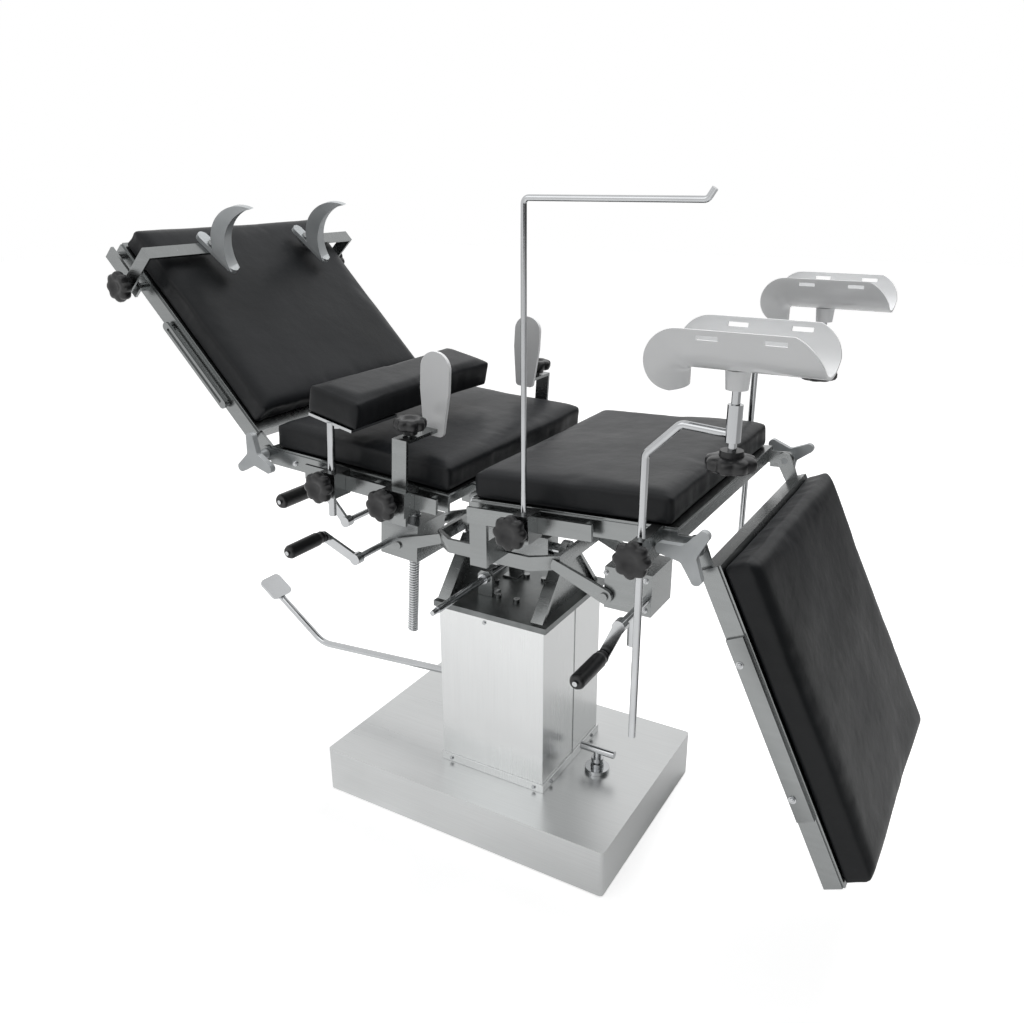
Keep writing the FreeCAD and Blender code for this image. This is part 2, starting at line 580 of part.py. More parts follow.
band_span = ("band_bottom", "band_bottom + band_height")
band_solid = plate("band_solid", "XY", band_span, band_loop(0))
band_void = plate("band_void", "XY", ("band_bottom - 1", "band_bottom + band_height + 1"),
                  band_loop(-d.band_thickness))


def jack_arm(name, low, high, start_x, end_x, end_z):
    """A flat arm with a round end and a bearing hole, from the band to a jack pin."""
    mid = d.band_bottom + d.band_height / 2
    reach = Vector(number(end_x) - start_x, 0, number(end_z) - mid)
    angle = math.degrees(math.atan2(-reach.z, reach.x))
    wide = d.arm_width / 2
    body, sketch = body_with_sketch(name, "XZ", 0)
    length = reach.Length
    draw(sketch, [(0, 4 - d.band_height / 2), (length + wide, -wide), (length + wide, wide),
                  (0, d.band_height / 2 - 4)], circles=[(length, 0, "trunnion_pin + running_clearance")],
         rounding=[0, wide - 0.01, wide - 0.01, 0])
    pad = body.newObject("PartDesign::Pad", name + "_pad")
    pad.Profile = sketch
    bind(pad, "Length", "(%s) - (%s)" % (high, low))
    body.Placement = Placement(Vector(start_x, number(high), mid), about_y(angle))
    return body


arms = []
for side, low, high in (("near", "-arm_y - arm_thickness/2", "-arm_y + arm_thickness/2"),
                        ("far", "arm_y - arm_thickness/2", "arm_y + arm_thickness/2")):
    arms.append(jack_arm("head_arm_" + side, low, high, hx + 14, "jack_head_x", "jack_head_z"))
    arms.append(jack_arm("foot_arm_" + side, low, high, fx - 14, "jack_foot_x", "jack_foot_z"))
band = fuse("tilt_band", cut("band_ring", band_solid, band_void), *arms)
node(band, "tilt_band")

# Outrigger: a cross bar on the band with a hub for the axle and two hangers for the table pivot.
cross = block("outrigger_bar", ("pivot_x - outrigger_width/2", "pivot_x + outrigger_width/2"),
              ("-hanger_y - hanger_thickness/2", "hanger_y + hanger_thickness/2"),
              ("band_bottom + band_height", "band_bottom + band_height + outrigger_height"))
hub_block = block("hub_block", ("hub_head_x", "hub_foot_x"), ("-hub_half_width", "hub_half_width"),
                  ("hub_bottom", "band_bottom + band_height + 0.5"))
hangers = [plate("hanger_" + side, "XZ", (low, high),
                 [("pivot_x - hanger_width/2", "band_bottom + band_height"),
                  ("pivot_x + hanger_width/2", "band_bottom + band_height"),
                  ("pivot_x + hanger_width/2", "pivot_height + hanger_width/2"),
                  ("pivot_x - hanger_width/2", "pivot_height + hanger_width/2")],
                 rounding=[0, 0, d.hanger_width / 2 - 0.01, d.hanger_width / 2 - 0.01])
           for side, low, high in (("near", "-hanger_y - hanger_thickness/2",
                                    "-hanger_y + hanger_thickness/2"),
                                   ("far", "hanger_y - hanger_thickness/2",
                                    "hanger_y + hanger_thickness/2"))]
hub_hole = rod("hub_hole", "axle_radius", ("hub_head_x - 1", 0, "axle_height"),
               "hub_foot_x - hub_head_x + 2", "X")
pivot_hole = rod("hanger_hole", "pivot_radius", ("pivot_x", "-hanger_y - 20", "pivot_height"),
                 "2 * hanger_y + 40", "Y")
sector_room = block("sector_room", ("worm_x - sector_thickness/2", "worm_x + sector_thickness/2"),
                    ("-hub_half_width - 1", "hub_half_width + 1"), ("hub_bottom - 1", "axle_height"))
node(cut("outrigger_frame", fuse("outrigger_welded", cross, hub_block, *hangers), hub_hole, pivot_hole,
         sector_room), "outrigger_frame")
node(rod("pivot_shaft", "pivot_radius", ("pivot_x", "-hanger_y - hanger_thickness/2 - 6", "pivot_height"),
         "2 * hanger_y + hanger_thickness + 12", "Y"), "pivot_shaft")


# Screw jacks: a gearbox hung on two trunnion pins and a screw with an eye and a cross pin.
def gearbox(name, centre_x, centre_z, low_x, low_z, bore_x, crank_x, crank_z):
    box = block(name + "_case", ("%s" % low_x, "%s + gearbox_length" % low_x),
                ("-gearbox_near", "-gearbox_near + gearbox_depth"),
                ("%s" % low_z, "%s + gearbox_height" % low_z))
    near_pin = rod(name + "_near_pin", "trunnion_pin",
                   (centre_x, "-arm_y - arm_thickness/2 - 4", centre_z),
                   "arm_y + arm_thickness/2 + 4 - gearbox_near + 6", "Y")
    near_washer = rod(name + "_near_washer", "trunnion_pin + 5",
                      (centre_x, "-arm_y + arm_thickness/2 + 0.3", centre_z),
                      "arm_y - arm_thickness/2 - 0.3 - gearbox_near + 2", "Y")
    far_pin = rod(name + "_far_pin", "trunnion_pin",
                  (centre_x, "-gearbox_near + gearbox_depth - 6", centre_z),
                  "arm_y + arm_thickness/2 + 4 + gearbox_near - gearbox_depth + 6", "Y")
    bore = rod(name + "_bore", "screw_radius + running_clearance",
               (bore_x, "screw_y", "%s - 1" % low_z), "gearbox_height + 2")
    shaft_bore = rod(name + "_shaft_bore", "crank_shaft + running_clearance",
                     (crank_x, "-gearbox_near - 1", crank_z), "18", "Y")
    return cut(name, fuse(name + "_fused", box, near_pin, near_washer, far_pin), bore, shaft_bore)


def jack_screw(name, bore_x, tip_z, eye_z):
    """A threaded rod's plain core with a forged eye and its cross pin."""
    length = "(%s) - (%s)" % (eye_z, tip_z)
    stem = rod(name + "_stem", "screw_radius", (bore_x, "screw_y", tip_z), length)
    eye = rod(name + "_eye", "eye_radius", (bore_x, "screw_y - eye_width/2", eye_z), "eye_width", "Y")
    pin = rod(name + "_pin", "eye_pin", (bore_x, "screw_y - eye_width/2 - 14", eye_z),
              "eye_width + 28", "Y")
    return fuse(name, stem, eye, pin)


HEAD_JACK = Placement(Vector(d.jack_head_x, 0, d.jack_head_z), about_y(d.head_jack_lean))
head_shaft = HEAD_JACK.inverse().multVec(Vector(d.crank_head_x, 0, d.crank_head_z))
head_box = gearbox("gearbox_lumbar", 0, 0, "-52", "-33", 0, "%.4f" % head_shaft.x, "%.4f" % head_shaft.z)
node(head_box, "gearbox_lumbar", HEAD_JACK)
node(jack_screw("jack_screw_lumbar", 0, "head_screw_tip", "head_screw_eye"), "jack_screw_lumbar", HEAD_JACK)
foot_box = gearbox("gearbox_seat", 0, 0, "-4", "-25", "foot_screw_offset",
                   "crank_foot_x - jack_foot_x", "crank_foot_z - jack_foot_z")
FOOT_JACK = Placement(Vector(d.jack_foot_x, 0, d.jack_foot_z), Rotation())
node(foot_box, "gearbox_seat", FOOT_JACK)
node(jack_screw("jack_screw_seat", "foot_screw_offset", "foot_screw_tip", "foot_screw_eye"),
     "jack_screw_seat", FOOT_JACK)


# Cranks: a shaft with a clamped hub, a flat arm and a bolt for the loose turning grip.
def crank(name, shaft_end_y, hub_y, reach, bolt_length):
    """Drawn with the shaft on the origin's Y axis and the arm pointing along -X."""
    shaft = rod(name + "_shaft", "crank_shaft", (0, hub_y, 0), "(%s) - (%s)" % (shaft_end_y, hub_y), "Y")
    hub_ring = rod(name + "_hub", "crank_shaft + 5", (0, "%s - 9" % hub_y, 0), 18, "Y")
    arm = plate(name + "_arm", "XZ", ("%s - crank_arm_thickness" % hub_y, hub_y),
                [("crank_arm_width/2", "-crank_arm_width/2"), ("crank_arm_width/2", "crank_arm_width/2"),
                 ("-(%s) - crank_arm_width/2" % reach, "crank_arm_width/2"),
                 ("-(%s) - crank_arm_width/2" % reach, "-crank_arm_width/2")],
                rounding=d.crank_arm_width / 2 - 0.01)
    bolt = rod(name + "_bolt", "grip_bolt", ("-(%s)" % reach, "%s - crank_arm_thickness - (%s)"
                                            % (hub_y, bolt_length), 0),
               "%s + 1" % bolt_length, "Y")
    return fuse(name, shaft, hub_ring, arm, bolt)


def grip(name, radius, hub_y, reach, length):
    """A turned handle, waisted at the arm, with a bore for its bolt."""
    r = number(radius)
    long = number(length)
    body = turned(name + "_body", [(d.grip_bolt + d.running_clearance, 0), (r * 0.82, 0), (r * 0.9, 4),
                                   (r * 0.84, 9), (r, 18), (r, long - 6), (r - 3, long),
                                   (d.grip_bolt + d.running_clearance, long)])
    body.Placement = Placement(Vector(-number(reach), number(hub_y) - d.crank_arm_thickness - 0.3, 0),
                               Rotation(Vector(1, 0, 0), 90))
    return group(name, body)


def arm_turn(dx, dz):
    """The rotation about Y that takes the drawn arm, along -X, to the direction in the photo."""
    return about_y(math.degrees(math.atan2(dz, -dx)))


HEAD_CRANK = Placement(Vector(d.crank_head_x, 0, d.crank_head_z), arm_turn(-82, 34))
node(crank("crank_lumbar", "-gearbox_near + 14", "crank_head_hub_y", "crank_head_reach",
           "grip_head_length + 4"), "crank_lumbar", HEAD_CRANK)
node(grip("grip_lumbar", "grip_radius", "crank_head_hub_y", "crank_head_reach", "grip_head_length"),
     "grip_lumbar", HEAD_CRANK)
FOOT_CRANK = Placement(Vector(d.crank_foot_x, 0, d.crank_foot_z), arm_turn(-27, -62))
node(crank("crank_seat", "-gearbox_near + 14", "crank_foot_hub_y", "crank_foot_reach",
           "grip_foot_length + 4"), "crank_seat", FOOT_CRANK)
node(grip("grip_seat", "grip_radius", "crank_foot_hub_y", "crank_foot_reach", "grip_foot_length"),
     "grip_seat", FOOT_CRANK)

# Back drive: the crank's pinion meshes with a toothed sector under the back section's hinge.
centre_distance = d.gear_module * d.pinion_teeth * (1 + d.gear_ratio) / 2
BACK_HINGE = BACK.Base
CRANK_CENTRE = Vector(BACK_HINGE.x + 10, 0, BACK_HINGE.z - math.sqrt(centre_distance ** 2 - 100))
line_of_centres = math.degrees(math.atan2(CRANK_CENTRE.x - BACK_HINGE.x, BACK_HINGE.z - CRANK_CENTRE.z))
BACK_CRANK = Placement(CRANK_CENTRE, arm_turn(-69, 77))


def gear_tooth(pitch_radius, tip, root, teeth, centre_angle):
    """Corners of one straight-sided tooth, as radius and angle in degrees."""
    pitch = 360.0 / teeth
    play = math.degrees(d.gear_backlash / 2 / pitch_radius)
    tip_half = pitch * 0.13 - play
    root_half = pitch * 0.33 - play
    return [(root, centre_angle - root_half), (tip, centre_angle - tip_half),
            (tip, centre_angle + tip_half), (root, centre_angle + root_half)]


def polar(radius, angle):
    """Angle in degrees from straight down, growing towards -X."""
    return (-radius * math.sin(math.radians(angle)), -radius * math.cos(math.radians(angle)))


pinion_pitch = d.gear_module * d.pinion_teeth / 2
pinion_points = []
for tooth in range(int(d.pinion_teeth)):
    centre = 180 + (tooth + 0.5) * 360 / d.pinion_teeth - line_of_centres
    for radius, angle in gear_tooth(pinion_pitch, pinion_pitch + 0.75 * d.gear_module,
                                    pinion_pitch - 1.0 * d.gear_module, d.pinion_teeth, centre):
        pinion_points.append(polar(radius, angle))
pinion = plate("back_pinion", "XZ", ("gear_y - gear_width/2 - 1", "gear_y + gear_width/2 + 1"),
               pinion_points)
pinion.Placement = Placement(Vector(), BACK_CRANK.Rotation.inverted()).multiply(pinion.Placement)
back_shaft = crank("crank_back_arm", "gear_y + gear_width/2 + 16", "crank_back_hub_y",
                   "crank_back_reach", "grip_back_length + 4")
node(fuse("crank_back", back_shaft, pinion), "crank_back", BACK_CRANK)
node(grip("grip_back", "grip_back_radius", "crank_back_hub_y", "crank_back_reach", "grip_back_length"),
     "grip_back", BACK_CRANK)

sector_pitch = pinion_pitch * d.gear_ratio
sector_count = int(d.pinion_teeth * d.gear_ratio)
step = 360.0 / sector_count
sector_points = []
first_tooth, last_tooth = -8, 16
for tooth in range(first_tooth, last_tooth + 1):
    centre = tooth * step - line_of_centres
    for radius, angle in gear_tooth(sector_pitch, sector_pitch + 0.75 * d.gear_module,
                                    sector_pitch - 1.0 * d.gear_module, sector_count, centre):
        sector_points.append(polar(radius, angle))
inner_radius = sector_pitch - 16
low_angle = first_tooth * step - step * 0.33 - line_of_centres
high_angle = last_tooth * step + step * 0.33 - line_of_centres
rim = sector_points + [polar(inner_radius, high_angle - (high_angle - low_angle) * share / 12)
                       for share in range(13)]
sector_span = ("gear_y - gear_width/2", "gear_y + gear_width/2")
sector_rim = plate("sector_rim", "XZ", sector_span, rim)
mid_angle = (low_angle + high_angle) / 2
spokes = []
for i, (spoke_angle, half_wide) in enumerate(((low_angle + 4, 7), (mid_angle, 7), (high_angle - 4, 7))):
    ux, uz = polar(1, spoke_angle)
    nx, nz = -uz, ux
    far_out = inner_radius + 4
    spokes.append(plate("sector_spoke_%d" % i, "XZ", sector_span,
                        [(nx * half_wide, nz * half_wide), (-nx * half_wide, -nz * half_wide),
                         (ux * far_out - nx * half_wide, uz * far_out - nz * half_wide),
                         (ux * far_out + nx * half_wide, uz * far_out + nz * half_wide)]))
sector_hub = rod("sector_hub", "hinge_lug_radius", (0, "gear_y - gear_width/2", 0), "gear_width", "Y")
sector = fuse("back_sector", sector_rim, sector_hub, *spokes)
sector.Placement = Placement(BACK_HINGE, Rotation())
node(sector, "back_sector")


# Section frames: flat-bar rectangles with cross bars, a board on top and a padded cushion.
def section_frame(name, start, end, raise_by, cross_bars, extras=(), cuts=(), lug_side=0):
    """Two side bars, cross bars and a board; start and end grow towards +X."""
    lift = "+ (%s)" % raise_by
    low, high = "bar_bottom " + lift, "bar_top " + lift
    pieces = [block(name + "_near_bar", (start, end),
                    ("-table_half_width", "-table_half_width + bar_thickness"), (low, high)),
              block(name + "_far_bar", (start, end),
                    ("table_half_width - bar_thickness", "table_half_width"), (low, high))]
    for i, place in enumerate(cross_bars):
        pieces.append(block("%s_cross_%d" % (name, i), ("%s - bar_thickness/2" % place,
                                                        "%s + bar_thickness/2" % place),
                            ("-table_half_width + bar_thickness/2", "table_half_width - bar_thickness/2"),
                            (low, high)))
    pieces.append(block(name + "_board", (start, end), ("-table_half_width + board_inset/2",
                                                        "table_half_width - board_inset/2"),
                        (high, high + " + board_thickness")))
    pieces.extend(extras)
    whole = fuse(name + "_welded", *pieces)
    return cut(name, whole, *cuts) if cuts else whole


def pad(name, start, end, raise_by, half_width="table_half_width"):
    """A cushion as a plain closed solid on the board."""
    under = "bar_top + board_thickness + pad_gap + (%s)" % raise_by
    body = plate(name, "XZ", ("-(%s)" % half_width, half_width),
                 [(start, under), (end, under), (end, under + " + pad_thickness"),
                  (start, under + " + pad_thickness")], rounding=[3, 3, 9, 9])
    return body


def lug(name, place_x, place_z, to_x, low, high, radius, bore, spread=None):
    """A rounded lug about a bore at one end and square at the other."""
    r = number(radius)
    x0, z0, x1 = number(place_x), number(place_z), number(to_x)
    side = -1 if x1 > x0 else 1
    tall = r if spread is None else spread
    body, sketch = body_with_sketch(name, "XZ", "-(%s)" % high)
    draw(sketch, [(x1, z0 - tall), (x0 + side * r, z0 - r), (x0 + side * r, z0 + r), (x1, z0 + tall)],
         circles=[(x0, z0, bore)], rounding=[0, r - 0.01, r - 0.01, 0])
    pad_feature = body.newObject("PartDesign::Pad", name + "_pad")
    pad_feature.Profile = sketch
    bind(pad_feature, "Length", "(%s) - (%s)" % (high, low))
    return body


def mirrored_lugs(name, place_x, place_z, to_x, y_low, y_high, radius, bore, spread=None):
    return [lug(name + "_near", place_x, place_z, to_x, "-(%s)" % y_high, "-(%s)" % y_low, radius, bore,
                spread),
            lug(name + "_far", place_x, place_z, to_x, y_low, y_high, radius, bore, spread)]


def jack_lugs(name, centre_x, centre_z, from_x, to_x):
    """Two plates between cross bars with slots for the jack eye's cross pin."""
    plates = []
    for side, low, high in (("a", "screw_y - eye_width/2 - 9", "screw_y - eye_width/2 - 3"),
                            ("b", "screw_y + eye_width/2 + 3", "screw_y + eye_width/2 + 9")):
        body, sketch = body_with_sketch("%s_%s" % (name, side), "XZ", "-(%s)" % high)
        draw(sketch, [(from_x, d.bar_bottom - 14), (to_x, d.bar_bottom - 14), (to_x, d.bar_top - 4),
                      (from_x, d.bar_top - 4)])
        slot_r = d.eye_pin + 1.2
        slide = d.jack_slot_slide
        slot = rounded_edges([(centre_x - slide - slot_r, centre_z - slot_r),
                              (centre_x + slide + slot_r, centre_z - slot_r),
                              (centre_x + slide + slot_r, centre_z + slot_r),
                              (centre_x - slide - slot_r, centre_z + slot_r)], slot_r - 0.01)
        for edge in slot:
            sketch.addGeometry(edge, False)
        pad_feature = body.newObject("PartDesign::Pad", "%s_%s_pad" % (name, side))
        pad_feature.Profile = sketch
        bind(pad_feature, "Length", "(%s) - (%s)" % (high, low))
        plates.append(body)
    return plates


def rail(name, start, end):
    """Accessory rails on both sides with their spacers and end caps."""
    pieces = []
    for side, sign in (("near", -1), ("far", 1)):
        inner_face, outer_face = "rail_inner", "rail_inner + rail_thickness"
        ys = ("-(%s)" % outer_face, "-(%s)" % inner_face) if sign < 0 else (inner_face, outer_face)
        bar = block("%s_%s" % (name, side), (start, end), ys,
                    ("rail_z - rail_height/2", "rail_z + rail_height/2"))
        spacers = []
        for i, share in enumerate((0.08, 0.5, 0.92)):
            centre = "(%s) + %.2f * ((%s) - (%s))" % (start, share, end, start)
            begin = "-rail_inner" if sign < 0 else "table_half_width"
            spacers.append(rod("%s_%s_spacer_%d" % (name, side, i), 8, (centre, begin, "rail_z"),
                               "rail_inner - table_half_width", "Y"))
        pieces.append(fuse("%s_%s_set" % (name, side), bar, *spacers))
    return group(name, *pieces)


bore = "pivot_radius + running_clearance"
# Seat section.
seat_extras = mirrored_lugs("seat_pivot_lug", 0, 0, "seat_near + 26", "seat_lug_y - lug_thickness/2",
                            "seat_lug_y + lug_thickness/2", "pivot_lug_radius", bore)
seat_extras += mirrored_lugs("seat_leg_lug", "leg_hinge_x", "leg_hinge_z", "seat_far + 2",
                             "table_half_width - bar_thickness", "table_half_width",
                             "hinge_lug_radius", "hinge_pin + running_clearance")
seat_eye = SEAT.inverse().multVec(Vector(d.jack_foot_x + d.foot_screw_offset, 0,
                                         d.jack_foot_z + d.foot_screw_eye))
seat_extras += jack_lugs("seat_jack_lug", seat_eye.x, seat_eye.z, seat_eye.x - 34, seat_eye.x + 34)
seat_frame = section_frame("seat_frame_body", "seat_near + 2", "seat_far + 5", 0,
                           ["seat_near + 26", "%.3f" % (seat_eye.x - 34), "%.3f" % (seat_eye.x + 34),
                            "seat_far - 4"], seat_extras)
node(seat_frame, "seat_frame", SEAT)
node(pad("seat_pad_body", "seat_near", "seat_far", 0), "seat_pad", SEAT)
node(rail("seat_rails_set", "seat_rail_start", "seat_rail_end"), "seat_rails", SEAT)

# Lumbar section.
lumbar_extras = mirrored_lugs("lumbar_pivot_lug", 0, 0, "-lumbar_near - 26", "lumbar_lug_y - lug_thickness/2",
                              "lumbar_lug_y + lug_thickness/2", "pivot_lug_radius", bore)
lumbar_extras += mirrored_lugs("lumbar_back_lug", "-back_hinge_x", "back_hinge_z", "-lumbar_far - 2",
                               "table_half_width - bar_thickness", "table_half_width",
                               "hinge_lug_radius", "hinge_pin + running_clearance", 11.9)
lumbar_eye = LUMBAR.inverse().multVec(HEAD_JACK.multVec(Vector(0, 0, d.head_screw_eye)))
lumbar_extras += jack_lugs("lumbar_jack_lug", lumbar_eye.x, lumbar_eye.z, lumbar_eye.x - 34,
                           lumbar_eye.x + 34)
crank_local = LUMBAR.inverse().multVec(CRANK_CENTRE)
carrier = []
for i, (low, high) in enumerate((("gear_y - gear_width/2 - 12", "gear_y - gear_width/2 - 4"),
                                 ("gear_y + gear_width/2 + 4", "gear_y + gear_width/2 + 12"))):
    carrier.append(plate("pinion_carrier_%d" % i, "XZ", (low, high),
                         [(crank_local.x - 16, crank_local.z - 16), (crank_local.x + 16, crank_local.z - 16),
                          (crank_local.x + 52, d.bar_bottom + 4), (crank_local.x + 52, d.bar_top),
                          (crank_local.x + 12, d.bar_top), (crank_local.x + 12, d.bar_bottom + 4)],
                         circles=[(crank_local.x, crank_local.z, "crank_shaft + running_clearance")]))
lumbar_extras += carrier
lumbar_extras += [rod("back_pin_seat", "hinge_pin + 1", ("-back_hinge_x", "table_half_width - bar_thickness",
                                                         "back_hinge_z"), "bar_thickness + 3", "Y"),
                  rod("back_pin_far", "hinge_pin",
                      ("-back_hinge_x", "table_half_width - 2 * bar_thickness - 1.7", "back_hinge_z"),
                      "bar_thickness + 2", "Y")]
sector_slot = block("lumbar_sector_slot", ("-lumbar_far - 4", "-lumbar_far + 188"),
                    ("gear_y - gear_width/2 - 3", "gear_y + gear_width/2 + 3"),
                    ("bar_bottom - 1", "bar_top - 0.5"))
lumbar_frame = section_frame("lumbar_frame_body", "-lumbar_far - 5", "-lumbar_near - 2", 0,
                             ["-lumbar_near - 26", "%.3f" % (lumbar_eye.x + 34),
                              "%.3f" % (lumbar_eye.x - 34), "-lumbar_far + 4"], lumbar_extras,
                             [sector_slot])
node(lumbar_frame, "lumbar_frame", LUMBAR)
node(pad("lumbar_pad_body", "-lumbar_cushion_end", "-lumbar_near", 0), "lumbar_pad", LUMBAR)
node(rail("lumbar_rails_set", "-lumbar_rail_end", "-lumbar_rail_start"), "lumbar_rails", LUMBAR)

# Back section.
hinge_y_low = "table_half_width - 2 * bar_thickness - 2"
hinge_y_high = "table_half_width - bar_thickness - 2"
back_extras = mirrored_lugs("back_lug", 0, 0, "-back_pad_start - 4", hinge_y_low, hinge_y_high,
                            "hinge_lug_radius", "hinge_pin + running_clearance", 13)
back_extras += [rod("back_tube_near", "back_tube_radius", (0, "-(%s)" % hinge_y_low, 0),
                    "%s + gear_y - gear_width/2" % hinge_y_low, "Y"),
                rod("back_tube_far", "back_tube_radius", (0, "gear_y + gear_width/2", 0),
                    "%s - gear_y - gear_width/2" % hinge_y_low, "Y")]
side_rails = []
for side, low, high in (("near", "-table_half_width - 12", "-table_half_width - 6"),
                        ("far", "table_half_width + 6", "table_half_width + 12")):
    strip = plate("back_strip_" + side, "XZ", (low, high),
                  [("-back_rail_end", "back_raise - 9"), ("-back_rail_start", "back_raise - 9"),
                   ("-back_rail_start", "back_raise + 9"), ("-back_rail_end", "back_raise + 9")],
                  rounding=8.9)
    slot = plate("back_strip_slot_" + side, "XZ", (low + " - 1", high + " + 1"),
                 [("-back_rail_end + 14", "back_raise - 3"), ("-back_rail_start - 14", "back_raise - 3"),
                  ("-back_rail_start - 14", "back_raise + 3"), ("-back_rail_end + 14", "back_raise + 3")])
    begin = "-table_half_width - 6.5" if side == "near" else "table_half_width - 0.5"
    studs = [rod("back_stud_%s_%d" % (side, i), 5, (place, begin, "back_raise"), 7, "Y")
             for i, place in enumerate(("-back_rail_end + 8", "-back_rail_start - 8"))]
    side_rails.append(fuse("back_rail_" + side, cut("back_strip_cut_" + side, strip, slot), *studs))
for side, sign in (("near", -1), ("far", 1)):
    inner_face, outer_face = "%d * rail_inner" % sign, "%d * (rail_inner + rail_thickness)" % sign
    ys = (outer_face, inner_face) if sign < 0 else (inner_face, outer_face)
    side_rails.append(block("head_rail_" + side, ("-back_pad_end + 4", "-head_rail_start"), ys,
                            ("rail_z + back_raise - rail_height/2", "rail_z + back_raise + rail_height/2")))
    for i, place in enumerate(("-back_pad_end + 16", "-head_rail_start - 12")):
        side_rails.append(rod("head_spacer_%s_%d" % (side, i), 8,
                              (place, "-rail_inner - 0.5" if sign < 0 else "table_half_width - 0.5",
                               "rail_z + back_raise"), "rail_inner - table_half_width + 1", "Y"))
back_frame = section_frame("back_frame_body", "-back_pad_end + 1", "-back_pad_start", "back_raise",
                           ["-back_pad_start - 4", "-back_pad_end/2", "-head_rail_start + 8",
                            "-back_pad_end + 6"], back_extras + side_rails)
node(back_frame, "back_frame", BACK)
node(pad("back_pad_body", "-back_pad_end", "-back_cushion_start", "back_raise"), "back_pad", BACK)

# Leg section.
leg_extras = mirrored_lugs("leg_lug", 0, 0, "leg_pad_start + 2", hinge_y_low, hinge_y_high,
                           "hinge_lug_radius", "hinge_pin + running_clearance", 11.9)
leg_frame = section_frame("leg_frame_body", "leg_pad_start", "leg_pad_end - 2", "leg_raise",
                          ["leg_pad_start + 3", "leg_pad_end/2", "leg_pad_end - 6"], leg_extras)
node(leg_frame, "leg_frame", LEG)
node(pad("leg_pad_body", "leg_pad_start", "leg_pad_end", "leg_raise"), "leg_pad", LEG)


# Clamp levers: three rounded lobes on a hub, with the stud that is the hinge's pin.
def wing_lever(name, sign, turn):
    """Drawn about the hinge's axis; sign is -1 on the near side and 1 on the far side."""
    ys = ("-lever_y - lever_thickness", "-lever_y") if sign < 0 else ("lever_y", "lever_y + lever_thickness")
    pieces = [rod(name + "_hub", "lever_hub", (0, ys[0], 0), "lever_thickness", "Y")]
    for i in range(3):
        angle = math.radians(turn + 120 * i)
        ux, uz = math.cos(angle), math.sin(angle)
        tip_x, tip_z = ux * d.lever_reach, uz * d.lever_reach
        wide, narrow = d.lever_hub - 2, d.lever_tip - 0.2
        pieces.append(plate("%s_lobe_%d" % (name, i), "XZ", ys,
                            [(-uz * wide, ux * wide), (uz * wide, -ux * wide),
                             (tip_x + uz * narrow, tip_z - ux * narrow),
                             (tip_x - uz * narrow, tip_z + ux * narrow)]))
        pieces.append(rod("%s_tip_%d" % (name, i), "lever_tip", ("%.4f" % tip_x, ys[0], "%.4f" % tip_z),
                          "lever_thickness", "Y"))
    stud_start = "-lever_y - 1" if sign < 0 else hinge_y_low + " + 0.3"
    pieces.append(rod(name + "_stud", "hinge_pin", (0, stud_start, 0),
                      "lever_y + 0.7 - (%s)" % hinge_y_low, "Y"))
    neck_start = "-lever_y - 1" if sign < 0 else "table_half_width + 0.4"
    pieces.append(rod(name + "_neck", "hinge_pin + 4", (0, neck_start, 0),
                      "lever_y + 0.6 - table_half_width", "Y"))
    return fuse(name, *pieces)


node(wing_lever("wing_lever_back_body", -1, 215), "wing_lever_back", Placement(BACK_HINGE, Rotation()))
LEG_HINGE = Placement(LEG.Base, Rotation())
node(wing_lever("wing_lever_near_body", -1, 175), "wing_lever_leg_near", LEG_HINGE)
node(wing_lever("wing_lever_far_body", 1, 30), "wing_lever_leg_far", LEG_HINGE)


def star_knob(name, stud_length, place):
    """A six-lobed knob with its stud; drawn along -Y with the stud towards +Y."""
    corners = []
    for i in range(6):
        for share, radius in ((0.0, 1.0), (0.5, 0.84)):
            angle = math.radians(60 * (i + share))
            corners.append((d.knob_radius * radius * math.cos(angle),
                            d.knob_radius * radius * math.sin(angle)))
    head = plate(name + "_head", "XZ", ("-knob_thickness", "0"), corners, rounding=4.5)
    neck = rod(name + "_neck", "knob_radius * 0.45", (0, -0.5, 0), 8.5, "Y")
    stud = rod(name + "_stud", "knob_stud", (0, 7, 0), "%s" % stud_length, "Y")
    knob = fuse(name, head, neck, stud)
    knob.Placement = Placement(place, Rotation())
    return knob


def rail_clamp(name, centre, width, sign):
    """A block that hooks over the accessory rail, with room in front for a post."""
    inner, rail_out = "rail_inner - clamp_grip", "rail_inner + rail_thickness + clamp_grip"
    lip, front = inner + " - clamp_lip", rail_out + " + clamp_depth"
    high, slot = "clamp_wrap", "(rail_height/2 + clamp_grip)"
    section = [(front, "-" + high), (front, high), (lip, high), (lip, slot + " - 4"), (inner, slot + " - 4"),
               (inner, slot), (rail_out, slot), (rail_out, "-" + slot), (inner, "-" + slot),
               (inner, "-" + slot + " + 4"), (lip, "-" + slot + " + 4"), (lip, "-" + high)]
    outline = [("%d * (%s)" % (sign, y), "rail_z + (%s)" % z) for y, z in section]
    return plate(name, "YZ", ("(%s) - (%s)/2" % (centre, width), "(%s) + (%s)/2" % (centre, width)), outline)


def local(placement, x, y, z):
    return placement.inverse().multVec(Vector(x, y, z))


